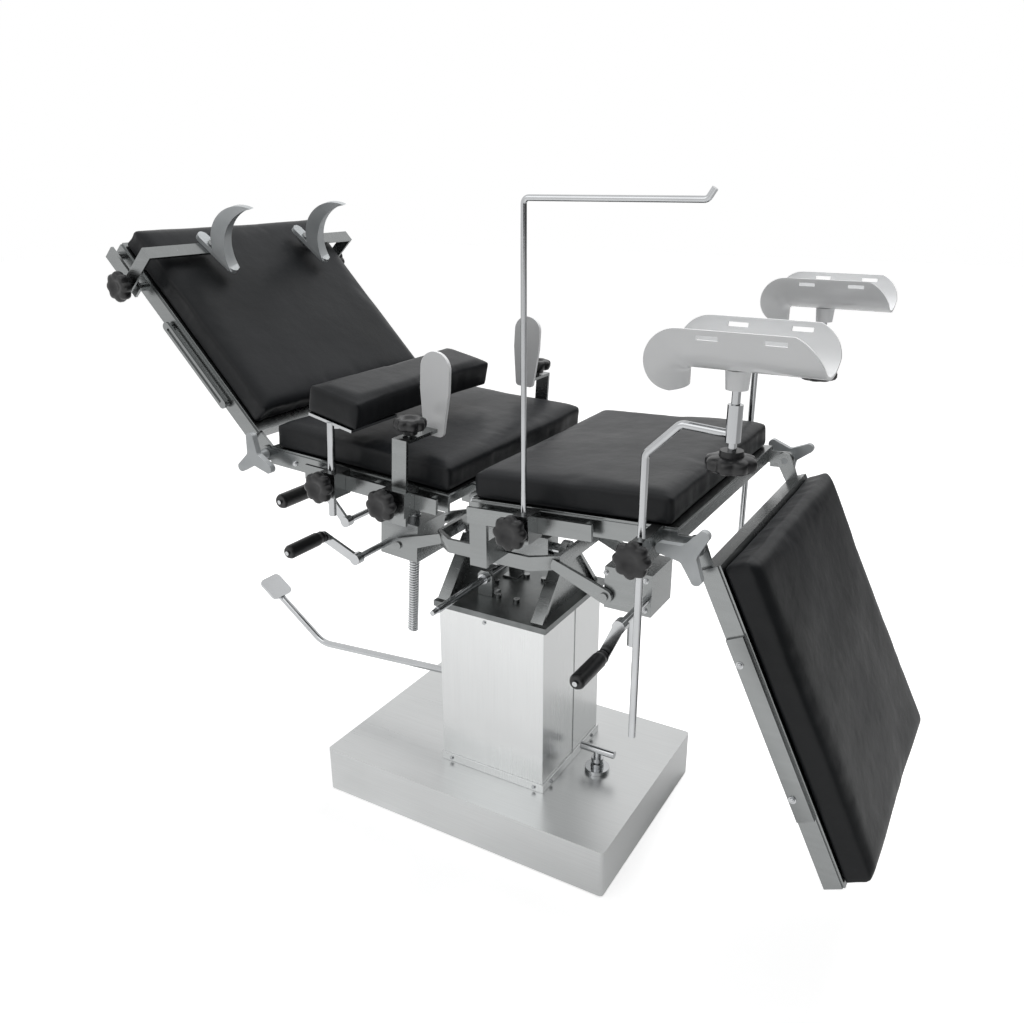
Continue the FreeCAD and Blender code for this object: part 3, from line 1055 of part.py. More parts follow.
# Lumbar clamps: the arm pad's post, and a flat post of a side support on each side.
arm_clamp = cut("arm_clamp", rail_clamp("arm_clamp_block", "-arm_post_x", "34", -1),
                rod("arm_clamp_bore", "arm_post_radius + running_clearance",
                    ("-arm_post_x", "-post_y", -60), 120))
side_clamps = []
for side, sign, place in (("near", -1, "-side_post_x"), ("far", 1, "-side_post_far_x")):
    slot_x = ("%s - side_post_width/2 - 0.3" % place, "%s + side_post_width/2 + 0.3" % place)
    slot_y = ("%d * post_y - side_post_thickness/2 - 0.3" % sign,
              "%d * post_y + side_post_thickness/2 + 0.3" % sign)
    blank = rail_clamp("side_clamp_block_" + side, place + " - 5", "48", sign)
    side_clamps.append(cut("side_clamp_" + side, blank,
                           block("side_clamp_slot_" + side, slot_x, slot_y, ("-60", "60"))))
knob_out = d.rail_inner + d.rail_thickness + d.clamp_grip + d.clamp_depth + 8.3
arm_knob = star_knob("arm_knob", 6, Vector(-d.arm_post_x - 4, -knob_out, d.rail_z))
near_knob = star_knob("side_knob_near", 6, Vector(-d.side_post_x - 16, -knob_out, d.rail_z))
far_knob = star_knob("side_knob_far", 6, Vector())
far_knob.Placement = Placement(Vector(-d.side_post_far_x - 16, knob_out, d.rail_z),
                               Rotation(Vector(0, 0, 1), 180))
node(group("lumbar_clamps", arm_clamp, *side_clamps, arm_knob, near_knob, far_knob), "lumbar_clamps", LUMBAR)

# Seat clamps: the screen rod's clamp on the rail and a leg rod's block on each side bar.
screen_local = local(SEAT, d.screen_x, 0, d.pivot_height + 20)
screen_clamp = rail_clamp("screen_clamp_block", "%.3f" % screen_local.x, "30", -1)
screen_bore = rod("screen_clamp_bore", "screen_radius + running_clearance",
                  ("screen_x", "-post_y", "screen_low - 30"), "120")
knob_bore = rod("screen_knob_bore", "knob_stud + running_clearance",
                ("%.3f" % (screen_local.x - 8), -knob_out + 6, "rail_z"), 15, "Y")
screen_clamp.Placement = SEAT
leg_blocks = []
for side, sign, place in (("near", -1, "leg_rod_x"), ("far", 1, "leg_rod_far_x")):
    spot = local(SEAT, number(place), 0, d.pivot_height + 20)
    ys = ("-leg_post_y - leg_block_front", "-table_half_width")
    stud_start = "-leg_post_y - leg_block_front - 2"
    if sign > 0:
        ys = ("table_half_width", "leg_post_y + leg_block_front")
        stud_start = "leg_post_y + 2"
    blank = block("leg_clamp_block_" + side,
                  ("%.3f - leg_clamp_half" % spot.x, "%.3f + leg_clamp_half" % spot.x),
                  ys, ("bar_bottom - 6", "bar_top + 6"))
    post_bore = rod("leg_clamp_bore_" + side, "leg_rod_radius + running_clearance",
                    (place, "%d * leg_post_y" % sign, "leg_rod_low"), "450")
    stud_bore = rod("leg_stud_bore_" + side, "knob_stud + running_clearance",
                    ("%.3f" % spot.x, stud_start, "rail_z"), "leg_block_front", "Y")
    leg_blocks.append(cut("leg_clamp_" + side, placed(blank, SEAT), post_bore, placed(stud_bore, SEAT)))
screen_block = cut("screen_clamp", screen_clamp, screen_bore, placed(knob_bore, SEAT))
node(group("seat_clamps", screen_block, *leg_blocks), "seat_clamps")
knob_at = SEAT.multVec(Vector(screen_local.x - 8, -knob_out, d.rail_z))
node(star_knob("screen_knob_body", 6, knob_at), "screen_knob")
knob_at = SEAT.multVec(Vector(local(SEAT, d.leg_rod_x, 0, 760).x,
                              -(d.leg_post_y + d.leg_block_front + 8.3), d.rail_z))
node(star_knob("leg_knob_body", 6, knob_at), "leg_clamp_knob")

# Arm pad: a narrow cushion on a plate and a round post.
arm_spot = Vector(-d.arm_post_x, 0, d.arm_post_top)
arm_frame = Placement(arm_spot, about_y(d.arm_pad_tilt))
arm_plate = block("arm_plate", ("-arm_pad_width/2 + 8", "arm_pad_width/2 - 8"),
                  ("-arm_pad_start + 2", "-arm_pad_start + 132"), ("0", "5"))
post = rod("arm_post", "arm_post_radius", ("-arm_post_x", "-post_y", "arm_post_low"),
           "arm_post_top - arm_post_low + 3")
post_flange = rod("arm_post_flange", "arm_post_radius + 9",
                  ("-arm_post_x", "-post_y + 16", "arm_post_top - 8"),
                  "9")
node(fuse("arm_pad_post", post, placed(arm_plate, arm_frame), post_flange), "arm_pad_post", LUMBAR)
arm_cushion = plate("arm_cushion", "XZ", ("-arm_pad_start", "-arm_pad_start + arm_pad_length"),
                    [("-arm_pad_width/2", "5.3"), ("arm_pad_width/2", "5.3"),
                     ("arm_pad_width/2", "5.3 + arm_pad_thickness"),
                     ("-arm_pad_width/2", "5.3 + arm_pad_thickness")], rounding=[3, 3, 9, 9])
node(group("arm_pad_set", placed(arm_cushion, arm_frame)), "arm_pad", LUMBAR)


# Side supports: a flat post, a flat arm over the pad's edge, a clamp knob and an oval paddle.
def side_support(name, place, sign):
    xs = ("%s - side_post_width/2" % place, "%s + side_post_width/2" % place)
    ys = ("%d * post_y - side_post_thickness/2" % sign, "%d * post_y + side_post_thickness/2" % sign)
    upright = block(name + "_post", xs, ys, ("side_post_low", "side_post_top"))
    arm_ys = ("-post_y - side_post_thickness/2", "-post_y + side_arm_reach")
    if sign > 0:
        arm_ys = ("post_y - side_arm_reach", "post_y + side_post_thickness/2")
    arm = block(name + "_arm", xs, arm_ys, ("side_post_top - side_post_thickness", "side_post_top"))
    end_y = "-post_y + side_arm_reach" if sign < 0 else "post_y - side_arm_reach"
    paddle_ys = (end_y + " - paddle_thickness", end_y) if sign < 0 else (end_y, end_y + " + paddle_thickness")
    mid = number(place) + 6
    high, wide = d.paddle_height, d.paddle_width
    base_z = d.side_post_top - 14
    paddle = plate(name + "_paddle", "XZ", paddle_ys,
                   [(mid - wide * 0.34, base_z), (mid + wide * 0.34, base_z), (mid + wide / 2, base_z + high * 0.55),
                    (mid + wide / 2, base_z + high), (mid - wide / 2, base_z + high),
                    (mid - wide / 2, base_z + high * 0.55)],
                   rounding=[8, 8, 40, wide / 2 - 0.02, wide / 2 - 0.02, 40])
    knob_y = "-post_y + 28" if sign < 0 else "post_y - 28"
    stem = rod(name + "_stem", "knob_stud", (place, knob_y, "side_post_top - 1"), 14)
    cap = rod(name + "_cap", "knob_radius", (place, knob_y, "side_post_top + 12"), 16)
    return fuse(name, upright, arm, paddle, stem, cap)


node(side_support("side_support_near", "-side_post_x", -1), "side_support_near", LUMBAR)
node(side_support("side_support_far", "-side_post_far_x", 1), "side_support_far", LUMBAR)

# Screen rod: an upright round bar bent over to the foot end, with a small turned-up tip.
screen = bent_rod("screen_rod_body", "screen_radius",
                  [("screen_x", "-post_y", "screen_low"), ("screen_x", "-post_y", "screen_top"),
                   ("screen_end", "-post_y", "screen_top"), ("screen_end + 9", "-post_y", "screen_top + 14")],
                  8)
node(screen, "screen_rod")


# Leg supports: a bent rod with an upright socket, and a trough that swivels on the socket's stem.
def leg_support(side, sign, place):
    x, y = number(place), sign * d.leg_post_y
    sleeve_x = x + d.leg_sleeve_x
    rod_part = bent_rod("leg_rod_bent_" + side, "leg_rod_radius",
                        [(x, y, "leg_rod_low"), (x, y, "leg_rod_bend"),
                         (x + d.leg_rod_corner, y, "leg_rod_high"), (sleeve_x, y, "leg_rod_high - 5")], 14)
    spot = "%.3f" % sleeve_x
    socket = rod("leg_socket_" + side, "sleeve_radius", (spot, y, "sleeve_low"), "sleeve_top - sleeve_low")
    stem = rod("leg_stem_" + side, "stem_radius", (spot, y, "sleeve_low - 24"), "stem_top - sleeve_low + 24")
    star = star_knob("leg_star_" + side, 2, Vector())
    star.Placement = Placement(Vector(sleeve_x, y, d.sleeve_low - 20), Rotation(Vector(1, 0, 0), 90))
    node(fuse("leg_rod_" + side, rod_part, socket, stem, star), "leg_rod_" + side)
    reach = d.trough_half_width + 22
    outer_r = (d.trough_half_width ** 2 + d.trough_depth ** 2) / (2 * d.trough_depth)
    inner_r = outer_r - d.trough_wall
    half_angle = math.asin(d.trough_half_width / outer_r)
    inner_half = math.acos((outer_r - d.trough_depth) / inner_r)
    centre_z = outer_r - d.trough_depth

    def on_arc(radius, angle):
        return Vector(0, radius * math.sin(angle), centre_z - radius * math.cos(angle))

    section = Part.Wire([
        Part.Arc(on_arc(outer_r, -half_angle), on_arc(outer_r, 0), on_arc(outer_r, half_angle)).toShape(),
        Part.LineSegment(on_arc(outer_r, half_angle), on_arc(inner_r, inner_half)).toShape(),
        Part.Arc(on_arc(inner_r, inner_half), on_arc(inner_r, 0), on_arc(inner_r, -inner_half)).toShape(),
        Part.LineSegment(on_arc(inner_r, -inner_half), on_arc(outer_r, -half_angle)).toShape()])
    face = Part.Face(section)
    face.translate(Vector(sleeve_x - d.trough_start, y, d.trough_rim))
    straight = face.extrude(Vector(d.trough_start + d.trough_end, 0, 0))
    hinge_point = Vector(sleeve_x - d.trough_start, y, d.trough_rim - d.trough_depth - d.trough_inner_bend)
    bend = face.revolve(hinge_point, Vector(0, -1, 0), 90)
    last = face.copy()
    last.rotate(hinge_point, Vector(0, -1, 0), 90)
    drop = last.extrude(Vector(0, 0, -d.trough_drop))
    curl = Part.makeCylinder(d.trough_curl, 2 * reach, Vector(sleeve_x - d.trough_start - 2, y - reach,
                                                              d.trough_rim - d.trough_curl + 0.1),
                             Vector(0, 1, 0))
    rolled = bend.fuse(drop).common(curl)
    boss = Part.makeCone(d.boss_radius - 2, d.boss_radius, d.trough_rim - d.trough_depth + 1 - d.boss_low,
                         Vector(sleeve_x, y, d.boss_low))
    shell = straight.fuse([rolled, boss])
    hole = Part.makeCylinder(d.stem_radius + d.running_clearance, d.stem_top - d.boss_low + 1.3,
                             Vector(sleeve_x, y, d.boss_low - 1))
    end_x = sleeve_x + d.trough_end
    corner = Vector(end_x + 1, y - reach, d.trough_rim + 1)
    lip_low = Vector(end_x + 1, y - reach, d.trough_rim - 58)
    lip_high = Vector(end_x - 36, y - reach, d.trough_rim + 1)
    lip_middle = Vector(end_x - 9, y - reach, d.trough_rim - 20)
    lip = Part.Face(Part.Wire([Part.Arc(lip_low, lip_middle, lip_high).toShape(),
                               Part.LineSegment(lip_high, corner).toShape(),
                               Part.LineSegment(corner, lip_low).toShape()]))
    slots = [Part.makeBox(d.trough_slot_length, 2 * reach, d.trough_slot_height,
                          Vector(sleeve_x + along, y - reach, d.trough_rim - 13)) for along in (-38, 48)]
    shell = shell.cut([hole, lip.extrude(Vector(0, 2 * reach, 0))] + slots).removeSplitter()
    trough = doc.addObject("Part::Feature", "trough_" + side)
    trough.Shape = shell
    node(trough, "trough_" + side)


leg_support("near", -1, "leg_rod_x")
leg_support("far", 1, "leg_rod_far_x")


# Shoulder supports: a strap from the head rail over the pad, and a curved horn on a slotted base.
def strap(side, sign):
    xs = ("-strap_s - strap_width/2", "-strap_s + strap_width/2")
    ys = ("-strap_y - strap_thickness", "-strap_y") if sign < 0 else ("strap_y", "strap_y + strap_thickness")
    over = ("horn_y - 12", "strap_y + strap_thickness")
    if sign < 0:
        over = ("-strap_y - strap_thickness", "-horn_y + 12")
    upright = block("strap_up_" + side, xs, ys, ("-24", "strap_over"))
    across = block("strap_over_" + side, xs, over, ("strap_over - strap_thickness", "strap_over"))
    begin = "-strap_y - 0.5" if sign < 0 else "rail_inner + rail_thickness"
    pad_block = rod("strap_seat_" + side, 9, ("-strap_s", begin, "rail_z + back_raise"),
                    "strap_y - rail_inner - rail_thickness + 0.5", "Y")
    knob = star_knob("strap_knob_" + side, 4, Vector())
    out = d.strap_y + d.strap_thickness + 8
    if sign < 0:
        knob.Placement = Placement(Vector(-d.strap_s, -out, d.rail_z + d.back_raise), Rotation())
    else:
        knob.Placement = Placement(Vector(-d.strap_s, out, d.rail_z + d.back_raise),
                                   Rotation(Vector(0, 0, 1), 180))
    pin = rod("horn_pin_" + side, "horn_pin", ("-strap_s", "%d * horn_y" % sign, "strap_over - 1"),
              "horn_base_thickness + 1.6")
    cap = rod("horn_pin_cap_" + side, "horn_pin + 4", ("-strap_s", "%d * horn_y" % sign,
                                                       "strap_over + horn_base_thickness + 0.6"), 3)
    return fuse("strap_" + side, upright, across, pad_block, knob, pin, cap)


node(group("shoulder_straps", strap("near", -1), strap("far", 1)), "shoulder_straps", BACK)


def horn(side, sign):
    """Base bar and crescent blade, drawn at the origin of its turning axis."""
    low_end, high_end = "horn_pin_offset + horn_base_length/2", "horn_pin_offset - horn_base_length/2"
    base = plate("horn_base_" + side, "XY", ("0.3", "0.3 + horn_base_thickness"),
                 [(high_end, "-horn_base_width/2"), (low_end, "-horn_base_width/2"),
                  (low_end, "horn_base_width/2"), (high_end, "horn_base_width/2")],
                 rounding=d.horn_base_width / 2 - 0.01)
    root, tip, toe = Vector(0, 0, 8), Vector(11, 0, 140), Vector(49, 0, 6)
    outer_arc = Part.Arc(root, Vector(-35, 0, 66), tip)
    inner_arc = Part.Arc(tip, Vector(-5, 0, 68), toe)
    blade_face = Part.Face(Part.Wire([outer_arc.toShape(), inner_arc.toShape(),
                                      Part.LineSegment(toe, root).toShape()]))
    blade_face.translate(Vector(d.horn_pin_offset, -d.horn_width / 2, 0))
    blade = blade_face.extrude(Vector(0, d.horn_width, 0))
    wide, narrow, reach = d.horn_width / 2, d.horn_width * 0.2, 120
    taper = Part.Face(Part.makePolygon([Vector(-reach, -wide, 0), Vector(-reach, wide, 0),
                                        Vector(-reach, narrow, 142), Vector(-reach, -narrow, 142),
                                        Vector(-reach, -wide, 0)])).extrude(Vector(2 * reach, 0, 0))
    blade_part = doc.addObject("Part::Feature", "horn_blade_" + side)
    blade_part.Shape = blade.common(taper)
    joined = fuse("horn_joined_" + side, base, blade_part)
    whole = cut("horn_body_" + side, joined, rod("horn_bore_" + side, "horn_pin + running_clearance",
                                                 (0, 0, -1), "horn_base_thickness + 2"),
                rod("horn_room_" + side, "horn_pin + 4.5", (0, 0, "horn_base_thickness + 0.3"), 5))
    whole.Placement = Placement(Vector(-d.strap_s, sign * d.horn_y, d.strap_over),
                                Rotation(Vector(0, 0, 1), d.horn_turn))
    return whole


node(horn("near", -1), "horn_near", BACK)
node(horn("far", 1), "horn_far", BACK)

doc.recompute()
failed = [item.Name for item in doc.Objects if "Invalid" in item.State or "Error" in item.State]
if failed:
    raise RuntimeError("not computed: " + ", ".join(failed))
for item in nodes:
    if item.Shape.isNull() or not item.Shape.isValid() or not item.Shape.Solids:
        raise RuntimeError("no sound solid: " + item.Label)
for item in nodes:
    item.Shape.exportStep("parts/" + item.Label + ".step")
print(len(nodes), "sub-parts written")
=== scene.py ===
import json
import math
import bmesh
import bpy
import numpy as np
from mathutils import Matrix, Vector, noise


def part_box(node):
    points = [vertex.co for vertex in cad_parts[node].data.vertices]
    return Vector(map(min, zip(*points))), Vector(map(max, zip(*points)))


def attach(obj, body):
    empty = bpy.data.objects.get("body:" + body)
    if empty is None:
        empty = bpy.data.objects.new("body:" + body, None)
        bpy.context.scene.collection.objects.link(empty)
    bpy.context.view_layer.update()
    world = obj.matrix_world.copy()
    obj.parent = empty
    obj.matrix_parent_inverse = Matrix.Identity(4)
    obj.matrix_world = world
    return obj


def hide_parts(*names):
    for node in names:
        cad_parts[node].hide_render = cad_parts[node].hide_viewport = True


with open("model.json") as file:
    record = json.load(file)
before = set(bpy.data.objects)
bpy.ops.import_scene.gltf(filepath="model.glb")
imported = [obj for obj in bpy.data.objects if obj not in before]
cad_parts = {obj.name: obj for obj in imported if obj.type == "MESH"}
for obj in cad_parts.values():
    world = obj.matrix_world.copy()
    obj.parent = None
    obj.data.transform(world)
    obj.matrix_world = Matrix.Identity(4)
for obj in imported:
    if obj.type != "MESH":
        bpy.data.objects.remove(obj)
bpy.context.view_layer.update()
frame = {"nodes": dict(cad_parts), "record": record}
parts = frame["nodes"]


# Camera and lamps.
# A photographer's setup: one camera a little above the pads on the near side of the foot end, and
# three large soft lamps.
eye = bpy.data.objects.new("camera", bpy.data.cameras.new("camera"))
bpy.context.scene.collection.objects.link(eye)
sensor, focal_pixels, picture_pixels = 36, 914.4, 1024
eye.data.sensor_width = sensor
eye.data.lens = focal_pixels * sensor / picture_pixels
eye.location = (0.882, -1.488, 1.283)
heading, tilt_up, roll = (math.radians(angle) for angle in (30.5, 69.73, -0.27))
eye.rotation_euler = (Matrix.Rotation(heading, 3, "Z") @ Matrix.Rotation(tilt_up, 3, "X")
                      @ Matrix.Rotation(roll, 3, "Z")).to_euler()
bpy.context.scene.camera = eye

for lamp_name, place, aim, side, power in (
        ("key_lamp", (-0.9, -2.6, 3.0), (0.0, 0.0, 0.7), 2.2, 13),
        ("fill_lamp", (2.8, -0.9, 2.0), (0.1, 0.0, 0.6), 2.0, 2),
        ("top_lamp", (0.1, 1.4, 3.4), (0.0, 0.0, 0.8), 2.4, 84)):
    lamp = bpy.data.objects.new(lamp_name, bpy.data.lights.new(lamp_name, "AREA"))
    bpy.context.scene.collection.objects.link(lamp)
    lamp.data.size = side
    lamp.data.energy = power
    lamp.visible_glossy = lamp_name != "top_lamp"  # metal would only mirror it as a white patch
    lamp.location = place
    lamp.rotation_euler = (Vector(aim) - Vector(place)).to_track_quat("-Z", "Y").to_euler()


class Socket:
    """One output of a material's nodes, which can be added and multiplied like a number."""

    def __init__(self, finish, output):
        self.finish = finish
        self.output = output

    def __add__(self, other):
        return self.finish.node("Math", inputs={0: self, 1: other}, operation="ADD")

    def __mul__(self, other):
        return self.finish.node("Math", inputs={0: self, 1: other}, operation="MULTIPLY")


class Finish:
    """A material: even values go straight on the shader, varying ones are sums of sockets."""

    def __init__(self, name, colour, roughness, **even):
        self.material = bpy.data.materials.new(name)
        self.material.use_nodes = True
        self.tree = self.material.node_tree
        self.shader = self.tree.nodes["Principled BSDF"]
        self.shader.inputs["Base Color"].default_value = (*colour, 1)
        self.shader.inputs["Roughness"].default_value = roughness
        for word, value in even.items():
            self.shader.inputs[word.replace("_", " ")].default_value = value

    def node(self, kind, output=0, inputs=None, **settings):
        made = self.tree.nodes.new("ShaderNode" + kind)
        for word, value in settings.items():
            setattr(made, word, value)
        for place, value in (inputs or {}).items():
            self.join(made.inputs[place], value)
        return Socket(self, made.outputs[output])

    def join(self, place, value):
        if isinstance(value, Socket):
            self.tree.links.new(value.output, place)
        else:
            place.default_value = value

    def where(self, stretch=(1, 1, 1)):
        """Object coordinates in metres, stretched along each axis."""
        place = self.node("TexCoord", output="Object")
        return self.node("Mapping", inputs={"Vector": place, "Scale": stretch})

    def clouds(self, scale, detail=2.0, stretch=(1, 1, 1)):
        return self.node("TexNoise", output="Fac", inputs={"Vector": self.where(stretch), "Scale": scale,
                                                           "Detail": detail})

    def between(self, share, low, high):
        """A colour from low to high, as the share goes from 0 to 1."""
        ramp = self.node("ValToRGB", output="Color", inputs={"Fac": share})
        ends = ramp.output.node.color_ramp.elements
        ends[0].color, ends[1].color = (*low, 1), (*high, 1)
        ends[0].position, ends[1].position = 0.3, 0.7
        return ramp

    def set(self, **varying):
        for word, value in varying.items():
            self.join(self.shader.inputs[word.replace("_", " ")], value)

    def relief(self, height, distance, strength=1.0):
        """Raises the surface by a height pattern, at most the distance in metres."""
        self.set(Normal=self.node("Bump", inputs={"Height": height, "Distance": distance,
                                                  "Strength": strength}))


# World and floor.
# The camera sees a plain white set, and so does metal, where it turns darker low on the foot side;
# everything else is lit by a soft gradient that grows towards the ceiling.
world = bpy.data.worlds.new("studio")
bpy.context.scene.world = world
world.use_nodes = True
sky = world.node_tree
backdrop = sky.nodes["Background"]
backdrop.inputs["Color"].default_value = (1, 1, 1, 1)


def sky_node(kind, links=None, values=None, **settings):
    made = sky.nodes.new("ShaderNode" + kind)
    for word, value in settings.items():
        setattr(made, word, value)
    for place, output in (links or {}).items():
        sky.links.new(output, made.inputs[place])
    for place, value in (values or {}).items():
        made.inputs[place].default_value = value
    return made


rays = sky_node("LightPath").outputs
seen = sky_node("Math", {0: rays["Is Camera Ray"], 1: rays["Is Glossy Ray"]}, operation="ADD",
                use_clamp=True)
direction = sky_node("SeparateXYZ", {0: sky_node("TexCoord").outputs["Generated"]}).outputs
glow = sky_node("MapRange", {"Value": direction["Z"]},
                {"From Min": -0.2, "From Max": 0.9, "To Min": 0.12, "To Max": 0.5})
foot_side = sky_node("Math", {0: direction["X"], 1: direction["Z"]}, operation="SUBTRACT")
mirrored = sky_node("MapRange", {"Value": foot_side.outputs[0]},
                    {"From Min": -0.05, "From Max": 0.32, "To Min": 1.0, "To Max": 0.04})
white_set = sky_node("Mix", {"Factor": rays["Is Camera Ray"], "A": mirrored.outputs["Result"]},
                     {"B": 1.0})
strength = sky_node("Mix", {"Factor": seen.outputs[0], "A": glow.outputs["Result"],
                            "B": white_set.outputs["Result"]})
sky.links.new(strength.outputs["Result"], backdrop.inputs["Strength"])

half_floor = 14
floor_mesh = bpy.data.meshes.new("floor")
floor_mesh.from_pydata([(-half_floor, -half_floor, 0), (half_floor, -half_floor, 0),
                        (half_floor, half_floor, 0), (-half_floor, half_floor, 0)], [], [(0, 1, 2, 3)])
floor = bpy.data.objects.new("floor", floor_mesh)
bpy.context.scene.collection.objects.link(floor)
paper = Finish("white_paper", (0.86, 0.86, 0.86), 0.9)
along = paper.node("SeparateXYZ", inputs={"Vector": paper.where()})
sideways = Socket(paper, along.output.node.outputs["Y"])
near_side = sideways * -0.9 + along * -0.5 + 0.24
near_side = paper.node("Math", operation="MINIMUM", inputs={0: near_side, 1: 0.55})
near_side = paper.node("Math", operation="MAXIMUM", inputs={0: near_side, 1: 0.0})
paper_glow = (paper.node("LightPath", output="Is Camera Ray") * 0.62
              + paper.node("LightPath", output="Is Glossy Ray") * near_side)
paper.set(Base_Color=paper.between(paper.clouds(0.6), (0.85, 0.85, 0.85), (0.88, 0.88, 0.88)),
          Emission_Color=paper.node("CombineColor", output="Color",
                                    inputs={0: paper_glow, 1: paper_glow, 2: paper_glow}))
paper.shader.inputs["Emission Strength"].default_value = 1.0
floor_mesh.materials.append(paper.material)


# Rigid parts in metal and plastic.
# Each part is cut, bent or turned from bright stock and deburred, so every outside edge carries a
# small round that catches the light; the mesh is a clean copy of the part with such edges.
sharp_corner, soft_corner = 40, 34
flat_angle = 0.002
carrier = {node: body for body, members in frame["record"]["behaviour"]["bodies"].items()
           for node in members}


def steel(name, colour, rough, stretch, grain, contrast):
    made = Finish(name, colour, rough, Metallic=1.0)
    streaks = made.clouds(grain, 3.0, stretch)
    stains = made.clouds(4.0, 3.0)
    shade = streaks * 0.5 + stains * 0.5
    dark = tuple(v * (1 - contrast) for v in colour)
    light = tuple(min(1.0, v * (1 + contrast * 0.6)) for v in colour)
    made.set(Base_Color=made.between(shade, dark, light), Roughness=shade * 0.16 + (rough - 0.08))
    made.relief(streaks, 0.00001, 0.15)
    return made.material


def shown(piece, body, slot, *nodes):
    """Links a finished piece, lets it ride on a body and hides the parts that it stands for; the slot is
    not used.
    """
    if piece.name not in bpy.context.scene.collection.objects:
        bpy.context.scene.collection.objects.link(piece)
    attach(piece, body)
    if nodes:
        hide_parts(*nodes)
    return piece


def settled(piece):
    """Applies a piece's modifiers to its mesh."""
    graph = bpy.context.evaluated_depsgraph_get()
    done = bpy.data.meshes.new_from_object(piece.evaluated_get(graph))
    piece.modifiers.clear()
    piece.data = done
    return done


def shade_by_angle(mesh, degrees):
    """Smooth faces, with a hard line only where two faces meet at more than the angle."""
    shape = bmesh.new()
    shape.from_mesh(mesh)
    for face in shape.faces:
        face.smooth = True
    for edge in shape.edges:
        sharp = len(edge.link_faces) != 2 or edge.calc_face_angle(0) > math.radians(degrees)
        edge.smooth = not sharp
    shape.to_mesh(mesh)
    shape.free()


def finished(node, material, slot, edge=0.0007, left_out=(), second=None):
    """A copy of a node with joined corners and rounded edges.

    Faces inside the left-out round zones are dropped, as another piece stands there. A second
    finish covers the faces that its test names."""
    piece = bpy.data.objects.new(node + "_finished", parts[node].data.copy())
    bpy.context.scene.collection.objects.link(piece)
    shape = bmesh.new()
    shape.from_mesh(piece.data)
    bmesh.ops.remove_doubles(shape, verts=shape.verts, dist=2e-6)
    for centre, axis, radius, low, high in left_out:
        gone = []
        for face in shape.faces:
            inside = True
            for vertex in face.verts:
                along = (vertex.co - centre).dot(axis)
                across = ((vertex.co - centre) - axis * along).length
                inside = inside and low <= along <= high and across <= radius
            if inside:
                gone.append(face)
        bmesh.ops.delete(shape, geom=gone, context="FACES")
    flat = [e for e in shape.edges if len(e.link_faces) == 2 and e.calc_face_angle(0) < flat_angle]
    bmesh.ops.dissolve_edges(shape, edges=flat, use_verts=False)
    bmesh.ops.triangulate(shape, faces=[f for f in shape.faces if len(f.verts) > 4])
    shape.to_mesh(piece.data)
    shape.free()
    piece.data.materials.clear()
    piece.data.materials.append(material)
    if edge:
        bevel = piece.modifiers.new("edge", "BEVEL")
        bevel.width = edge
        bevel.segments = 2
        bevel.limit_method = "ANGLE"
        bevel.angle_limit = math.radians(sharp_corner)
        settled(piece)
    shade_by_angle(piece.data, soft_corner)
    level = piece.modifiers.new("level", "WEIGHTED_NORMAL")
    level.keep_sharp = True
    settled(piece)
    if second:
        other, test = second
        piece.data.materials.append(other)
        for face in piece.data.polygons:
            face.material_index = 1 if test(face.center) else 0
    return shown(piece, carrier[node], slot, node)


# Base and column.
# Folded stainless sheet with a belt-ground grain: along the length on the base, upright on the
# column's cover and the rising sleeve; rubber feet carry the chassis under it.
grain_long = steel("steel_grain_long", (0.62, 0.63, 0.63), 0.30, (0.01, 1, 1), 900.0, 0.10)
grain_up = steel("steel_grain_upright", (0.70, 0.71, 0.71), 0.26, (1, 1, 0.01), 900.0, 0.07)
finished("base_cover", grain_long, "brushed_steel", 0.0012)
finished("column_cover", grain_up, "brushed_steel", 0.0009)
finished("inner_sleeve", grain_up, "brushed_steel", 0)
finished("base_chassis", grain_long, "brushed_steel", 0)
rubber = Finish("foot_rubber", (0.03, 0.03, 0.03), 0.8)
rubber.relief(rubber.clouds(900.0, 2.0), 0.0003, 0.6)
finished("base_feet", rubber.material, "foot_rubber")

# Plates over the column.
# A thick plate in dark satin paint, bolted down, with two gusseted trunnion plates and the worm's
# bracket standing on it in bare steel.
plate_paint = Finish("dark_plate", (0.13, 0.14, 0.14), 0.34, Metallic=0.75)
plate_marks = plate_paint.clouds(22.0, 5.0)
plate_paint.set(Base_Color=plate_paint.between(plate_marks, (0.16, 0.17, 0.17), (0.26, 0.27, 0.27)),
                Roughness=plate_marks * 0.2 + 0.26)
satin = steel("steel_satin", (0.28, 0.29, 0.29), 0.26, (0.02, 0.4, 0.4), 300.0, 0.10)
bright = steel("steel_bright", (0.50, 0.51, 0.52), 0.15, (0.2, 0.2, 0.2), 90.0, 0.10)
bolt_top, bolt_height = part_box("top_plate")[1].z, 0.0065
finished("top_plate", plate_paint.material, "dark_plate", 0.0012,
         second=(satin, lambda spot: spot.z > bolt_top - bolt_height))
finished("trunnion_plates", satin, "brushed_steel", 0.0010)
finished("worm_bracket", satin, "brushed_steel")

# Turned and drawn parts.
# Rods, screws, shafts and levers are drawn or turned bar, polished; the boxes and frames between
# them are flat bar and plate with a satin face.
for node in ("lift_ram", "pump_pedal", "brake_flange", "brake_handle", "tilt_worm_shaft", "tilt_axle",
             "pivot_shaft", "crank_lumbar", "crank_seat", "crank_back", "hydraulic_pump", "screen_rod",
             "arm_pad_post", "jack_screw_seat"):
    finished(node, bright, "bright_steel", 0.0006)
for node in ("tilt_band", "outrigger_frame", "gearbox_lumbar", "gearbox_seat", "back_sector",
             "seat_frame", "seat_rails", "lumbar_frame", "lumbar_rails", "back_frame", "leg_frame",
             "seat_clamps"):
    finished(node, satin, "brushed_steel", 0.0008)


